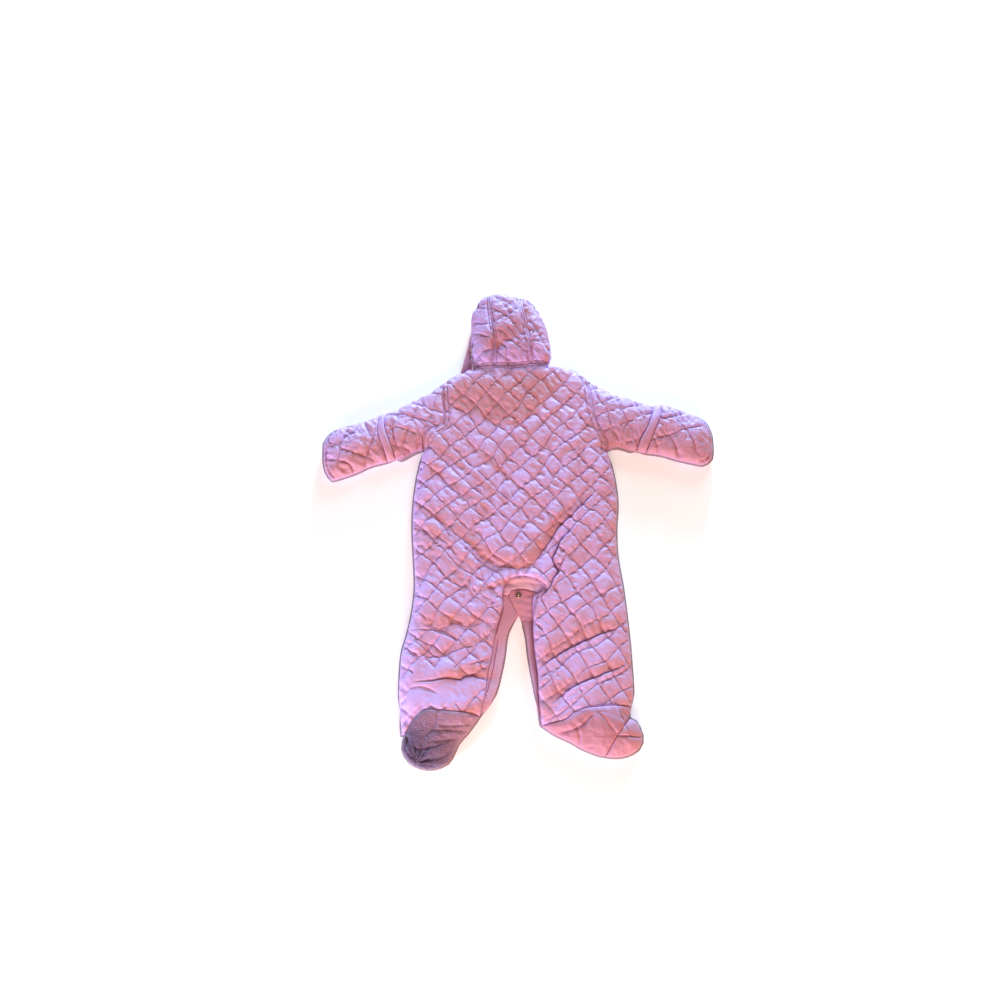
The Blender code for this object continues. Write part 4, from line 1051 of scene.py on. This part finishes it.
# ---------------------------------------------------------------- finishes
class Shader:
    """A principled material with its nodes, named by what they do."""

    def __init__(self, name, roughness, sheen=0.0, metallic=0.0, specular=0.5):
        self.made = bpy.data.materials.new(name)
        self.made.use_nodes = True
        self.nodes, self.links = self.made.node_tree.nodes, self.made.node_tree.links
        self.out = self.nodes["Principled BSDF"]
        for socket, value in (("Roughness", roughness), ("Metallic", metallic), ("Sheen Weight", sheen),
                              ("Sheen Roughness", 0.4), ("Specular IOR Level", specular)):
            self.out.inputs[socket].default_value = value
        self.where = self.nodes.new("ShaderNodeTexCoord").outputs["Object"]
        self.normal = None

    def fed(self, kind, output, inputs, **settings):
        """The output of a new node, with its inputs set to values or linked to other outputs."""
        made = self.nodes.new("ShaderNode" + kind)
        for name, value in settings.items():
            setattr(made, name, value)
        for socket, value in inputs.items():
            if isinstance(value, bpy.types.NodeSocket):
                self.links.new(value, made.inputs[socket])
            else:
                made.inputs[socket].default_value = value
        return made.outputs[output]

    def noise(self, scale, detail=4.0, stretch=None):
        where = self.where
        if stretch:
            turn = (0, 0, math.radians(40))
            where = self.fed("Mapping", "Vector", {"Scale": stretch, "Rotation": turn, "Vector": where})
        return self.fed("TexNoise", "Fac", {"Scale": scale, "Detail": detail, "Vector": where})

    def bands(self, pitch, direction="DIAGONAL", turn=0.0, distortion=0.0):
        """Parallel ribs at a pitch in millimetres, across or, as DIAGONAL, aslant."""
        spin = (0, 0, math.radians(turn))
        where = self.fed("Mapping", "Vector", {"Rotation": spin, "Vector": self.where})
        scale = (0.444 if direction == "DIAGONAL" else 0.314) / (pitch * MM)
        return self.fed("TexWave", "Fac", {"Scale": scale, "Distortion": distortion, "Vector": where},
                        bands_direction=direction)

    def mixed(self, first, second, factor, strength=1.0):
        """One colour over another, by a factor from a texture or an attribute."""
        first, second = ((*c, 1) if isinstance(c, tuple) else c for c in (first, second))
        soft = self.fed("Math", "Value", {0: factor, 1: strength}, operation="MULTIPLY")
        return self.fed("Mix", "Result", {"A": first, "B": second, "Factor": soft}, data_type="RGBA")

    def tinted(self, colour, first, second, factor):
        """A colour times another that goes from the first to the second with a factor."""
        tint = self.mixed(first, second, factor)
        return self.fed("VectorMath", "Vector", {0: colour, 1: tint}, operation="MULTIPLY")

    def attribute(self, name):
        return self.fed("Attribute", "Fac", {}, attribute_name=name)

    def across(self, start, stop):
        """0 to 1 from one plan point to another."""
        start, stop = (np.array([*p, 0]) + HOME for p in (start, stop))
        run = (stop - start) * MM
        shift = self.fed("VectorMath", "Vector", {0: self.where, 1: start * MM}, operation="SUBTRACT")
        along = self.fed("VectorMath", "Value", {0: shift, 1: run / (run @ run)}, operation="DOT_PRODUCT")
        return self.fed("Clamp", "Result", {"Value": along})

    def coloured(self, colour, painted_shade_colour=None):
        if painted_shade_colour:
            # painted shade: the colour darkens towards the shade colour by the painted-shade attribute, and
            # the under pieces take the under-side shade colour
            colour = self.mixed(colour, painted_shade_colour, self.attribute("painted_shade"), 0.9)
            colour = self.mixed(colour, UNDERSIDE_SHADE_COLOUR, self.attribute("pale"))
        self.links.new(colour, self.out.inputs["Base Color"])

    def pressed(self, height, strength, depth):
        """A bump of the depth in millimetres."""
        inputs = {"Strength": strength, "Distance": depth * MM, "Height": height}
        if self.normal:
            inputs["Normal"] = self.normal
        self.normal = self.fed("Bump", "Normal", inputs)
        self.links.new(self.normal, self.out.inputs["Normal"])


# painted shade: colour of the under pieces and of the sleeves where they wrap under, a dull mauve darker than
# the satin for the shade under the suit's edges, seen at the rims
UNDERSIDE_SHADE_COLOUR = (0.35, 0.27, 0.30)


def satin():
    made = Shader("satin", 0.52, sheen=0.15, specular=0.25)
    base = made.mixed((0.65, 0.37, 0.62), (0.75, 0.45, 0.75), made.noise(30))
    # painted highlights: lighter lilac flecks for light caught by small crinkles
    base = made.mixed(base, (0.87, 0.60, 0.94), made.noise(420, 6.0, (1, 1.8, 1)), 0.36)
    base = made.mixed(base, (0.57, 0.30, 0.51), made.bands(0.9), 0.15)
    # painted light and shade: the satin turns lilac, as if lit, where its form faces the cool lamps, and
    # salmon, as if shaded, where it faces away
    base = made.tinted(base, (0.92, 0.72, 0.54), (1.02, 1.14, 1.26), made.attribute("tone"))
    # dark violet painted shade in hollows, lines and creases
    made.coloured(base, (0.33, 0.10, 0.20))
    made.pressed(made.noise(170, 5.0, (1, 2.6, 1)), 0.6, 1.0)
    made.pressed(made.bands(0.9, distortion=0.6), 0.25, 0.12)
    return made.made


def cotton(name, colour, darker, painted_shade_colour):
    made = Shader(name, 0.85, sheen=0.1, specular=0.25)
    made.coloured(made.mixed(colour, darker, made.noise(70, 6.0)), painted_shade_colour)
    made.pressed(made.noise(260, 4.0), 0.5, 0.7)
    made.pressed(made.bands(0.8, "X", 12), 0.12, 0.15)
    made.pressed(made.bands(0.8, "Y", 12), 0.12, 0.15)
    return made.made


def tape():
    made = Shader("tape", 0.8, sheen=0.1, specular=0.25)
    rib = made.bands(2.3, distortion=0.3)
    cloth = made.mixed((0.50, 0.20, 0.36), (0.98, 0.68, 0.86), rib)
    # painted shade: the tape turns salmon towards the snap, where it lies in the shade of the facing and the
    # legs; the last colour is its painted shade along the gaps
    near_snap = made.across((0, -176), (0, -142))
    made.coloured(made.mixed(cloth, (0.74, 0.35, 0.47), near_snap, 0.85), (0.20, 0.04, 0.07))
    made.pressed(rib, 0.9, 0.5)
    made.pressed(made.noise(700, 3.0), 0.4, 0.2)
    return made.made


def velour():
    made = Shader("velour_pile", 0.95, sheen=0.45, specular=0.15)
    # painted light: the sole is lighter and pinker towards its upper right, darker and greyer towards its
    # lower left; the last colour is its painted shade in creases
    fade = made.across((-138, -318), (-90, -270))
    low = made.mixed((0.06, 0.03, 0.07), (0.29, 0.20, 0.33), made.noise(330, 9.0, (1, 2.4, 1)))
    high = made.mixed((0.34, 0.16, 0.25), (0.74, 0.44, 0.59), made.noise(330, 9.0, (1, 2.4, 1)))
    made.coloured(made.mixed(low, high, fade), (0.06, 0.02, 0.05))
    made.pressed(made.noise(330, 8.0, (1, 2.2, 1)), 1.0, 2.2)
    made.pressed(made.noise(1100, 3.0), 0.8, 0.5)
    return made.made


def steel():
    made = Shader("steel", 0.25, metallic=1.0)
    made.coloured(made.mixed((0.22, 0.15, 0.12), (0.42, 0.33, 0.28), made.noise(900, 4.0)))
    made.pressed(made.noise(1500, 3.0), 0.15, 0.1)
    return made.made


def thread(name, colour):
    made = Shader(name, 0.5, sheen=0.3, specular=0.4)
    made.coloured(made.mixed(colour, tuple(0.75 * c for c in colour), made.noise(2500, 2.0)))
    made.pressed(made.bands(0.5), 0.4, 0.1)
    return made.made


SATIN = satin()
# the third colour of each cotton is its painted shade in hollows and gaps
FACING = cotton("facing_cotton", (0.84, 0.55, 0.74), (0.77, 0.46, 0.62), (0.40, 0.13, 0.22))
# painted shade: the tongue is a darker copy of the facing's cotton, for the shade it lies in under the facing
TONGUE_SHADED_COTTON = cotton("tongue_cotton_shaded", (0.80, 0.40, 0.54), (0.69, 0.31, 0.42), (0.20, 0.04, 0.07))
TAPE = tape()
VELOUR = velour()
STEEL = steel()
THREAD = thread("thread", (0.62, 0.33, 0.58))
RED_THREAD = thread("red_thread", (0.50, 0.14, 0.22))
MAGENTA_THREAD = thread("magenta_thread", (0.52, 0.07, 0.34))
PLAIN_FINISH = ("quilted_satin", SATIN)
FINISH = {"crotch_facing": ("plain_cotton", FACING), "crotch_tongue": ("plain_cotton", TONGUE_SHADED_COTTON),
          "tape_left": ("ribbed_tape", TAPE), "tape_right": ("ribbed_tape", TAPE),
          "sole_left": ("velour", VELOUR)}


def placed(name, data):
    made = bpy.data.objects.new(name, data)
    bpy.context.scene.collection.objects.link(made)
    return made


def finished(piece):
    bm = piece.bm
    bmesh.ops.triangulate(bm, faces=[f for f in bm.faces if len(f.verts) > 3])
    for v in bm.verts:
        v.co = Vector((np.array(v.co) + HOME) * MM)
    for f in bm.faces:
        f.smooth = True
    bmesh.ops.recalc_face_normals(bm, faces=bm.faces)
    mesh = bpy.data.meshes.new(piece.name + "_cloth")
    bm.to_mesh(mesh)
    mesh.set_sharp_from_angle(angle=math.radians(65))
    made = placed(piece.name + "_cloth", mesh)
    slot, finish = FINISH.get(piece.name, PLAIN_FINISH)
    mesh.materials.append(finish)
    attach(made, "root")
    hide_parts(piece.name)


for piece in PIECES.values():
    finished(piece)


# ---------------------------------------------------------------- stitches
def quilting_runs(piece):
    """Both ends of each stitch along the quilting of a piece."""
    moved, index, count, quilt, _ = piece.surface
    if not quilt:
        return []
    at = {(int(i), int(j)): p for (i, j), p in zip(index, moved[count:]) if not i % STEPS or not j % STEPS}
    runs = []
    for (i, j), p in at.items():
        if not i % STEPS and not j % 2 and (i, j + 2) in at and (i, j + 1) in at:
            runs.append((p, at[i, j + 2]))
        if not j % STEPS and not i % 2 and (i + 2, j) in at and (i + 1, j) in at:
            runs.append((p, at[i + 2, j]))
    return runs


def line_runs(piece, lines, pitch=3.0):
    """Both ends of each stitch along the single lines of a piece, on its surface."""
    moved, count = piece.surface[0], piece.surface[2]
    tree = KDTree(len(moved) - count)
    for k, p in enumerate(moved[count:]):
        tree.insert((p[0], p[1], 0), k)
    tree.balance()
    segments = closed(piece.loop[:, :2])
    runs = []
    for line in lines:
        line = resampled(np.asarray(line, float), pitch)
        ok = inside(line, segments) & (distance(line, segments) > 0.8)
        height = np.array([np.mean([moved[count + k][2] for _, k, _ in tree.find_n((*p, 0), 3)])
                           for p in line])
        point = np.column_stack((line, height))
        runs += [(point[k], point[k + 1]) for k in range(len(line) - 1) if ok[k] and ok[k + 1]]
    return runs


# how far the thread stands off the cloth
THREAD_LIFT = np.array([0, 0, 0.12])


def stitched(name, runs, finish, radius=0.32, cover=0.82):
    """One mesh of small capsules, one for each run."""
    start, stop = (np.array([run[k] for run in runs]) for k in (0, 1))
    middle, run = (start + stop) / 2, (stop - start) * cover
    start, stop = middle - run / 2, middle + run / 2
    length = np.maximum(1e-6, np.linalg.norm(run, axis=1))[:, None]
    ahead = run / length
    aside = np.cross(ahead, (0, 0, 1.0))
    aside /= np.maximum(1e-6, np.linalg.norm(aside, axis=1))[:, None]
    over = np.cross(aside, ahead)
    rings = [start]
    for share in (0.15, 0.85):
        rings += [start + run * share + radius * (math.cos(a) * aside + math.sin(a) * over)
                  for a in (0, math.pi / 2, math.pi, 1.5 * math.pi)]
    rings.append(stop)
    points = np.stack(rings, axis=1) + THREAD_LIFT
    pattern = [(0, 1 + (k + 1) % 4, 1 + k) for k in range(4)]
    pattern += [(1 + k, 1 + (k + 1) % 4, 5 + (k + 1) % 4, 5 + k) for k in range(4)]
    pattern += [(5 + k, 5 + (k + 1) % 4, 9) for k in range(4)]
    faces = [tuple(10 * m + v for v in face) for m in range(len(points)) for face in pattern]
    mesh = bpy.data.meshes.new(name)
    mesh.from_pydata(((points.reshape(-1, 3) + HOME) * MM).tolist(), [], faces)
    mesh.polygons.foreach_set("use_smooth", [True] * len(faces))
    mesh.materials.append(finish)
    made = placed(name, mesh)
    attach(made, "root")


def zigzag(line, wide, pitch):
    rows = resampled(np.asarray(line, float), pitch)
    side = sides_of(rows) * (wide / 2)
    return rows + side * np.where(np.arange(len(rows)) % 2, 1, -1)[:, None]


FEET = ("sole_right", "toe_right")
UNSTITCHED = ("crotch_tongue", "tape_left", "tape_right", "hood_flap")
for name, piece in PIECES.items():
    if piece.top and name not in FEET + UNSTITCHED:
        runs = quilting_runs(piece) + line_runs(piece, piece.surface[4])
        if runs:
            stitched(name + "_stitches", runs, THREAD)
runs = [run for name in FEET for run in line_runs(PIECES[name], PIECES[name].surface[4], 2.6)]
stitched("foot_stitches", runs, RED_THREAD, radius=0.4, cover=0.5)
OVERLOCK = smooth_line(((-29, -168), (-34, -200), (-38, -220), (-46, -248)), 2)
runs = line_runs(PIECES["tape_left"], [zigzag(OVERLOCK, 2.6, 1.5)], 2.2)
stitched("tape_left_overlock", runs, MAGENTA_THREAD, radius=0.35, cover=1.0)
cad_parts["snap_stud"].data.materials.clear()
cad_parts["snap_stud"].data.materials.append(STEEL)

# ---------------------------------------------------------------- studio
FLOOR_Z = -0.0006
floor_mesh = bpy.data.meshes.new("floor")
corners = [(x, y, FLOOR_Z) for x, y in ((-6, -6), (6, -6), (6, 6), (-6, 6))]
floor_mesh.from_pydata(corners, [], [(0, 1, 2, 3)])
floor = placed("floor", floor_mesh)
white = bpy.data.materials.new("floor_white")
white.use_nodes = True
for socket, value in (("Base Color", (0.97, 0.98, 0.97, 1)), ("Roughness", 0.9),
                      ("Emission Color", (1, 1, 1, 1)), ("Emission Strength", 0.3)):
    white.node_tree.nodes["Principled BSDF"].inputs[socket].default_value = value
floor_mesh.materials.append(white)


def area_light(name, location, target, size, power, colour):
    data = bpy.data.lights.new(name, "AREA")
    data.shape = "DISK"
    data.size, data.energy, data.color = size, power, colour
    light = placed(name, data)
    light.location = location
    light.rotation_euler = (Vector(target) - Vector(location)).to_track_quat("-Z", "Y").to_euler()


area_light("key", (0.8, 2.4, 1.1), (0, 0, 0), 1.0, 33, (0.42, 0.75, 1.0))
area_light("low_key", (0.45, 3.1, 0.50), (0, 0, 0.02), 0.45, 156, (0.44, 0.72, 1.0))
area_light("side", (-1.3, -1.35, 0.26), (-0.13, -0.25, 0), 0.3, 32, (0.40, 0.60, 1.0))
area_light("fill", (0.1, -2.3, 0.95), (0, -0.2, 0), 1.2, 52, (1.0, 0.60, 0.47))
world = bpy.data.worlds.new("studio")
world.use_nodes = True
for socket, value in (("Color", (1.0, 0.76, 0.64, 1)), ("Strength", 0.40)):
    world.node_tree.nodes["Background"].inputs[socket].default_value = value
bpy.context.scene.world = world
bpy.context.scene.view_settings.view_transform = "Standard"

view = bpy.data.cameras.new("view")
view.sensor_width = 36.0
view.lens = 27.87
view.clip_end = 50
camera = placed("view", view)
camera.location = (-0.0285, -0.3944, 1.1276)
camera.rotation_euler = (math.radians(20), 0, 0)
bpy.context.scene.camera = camera
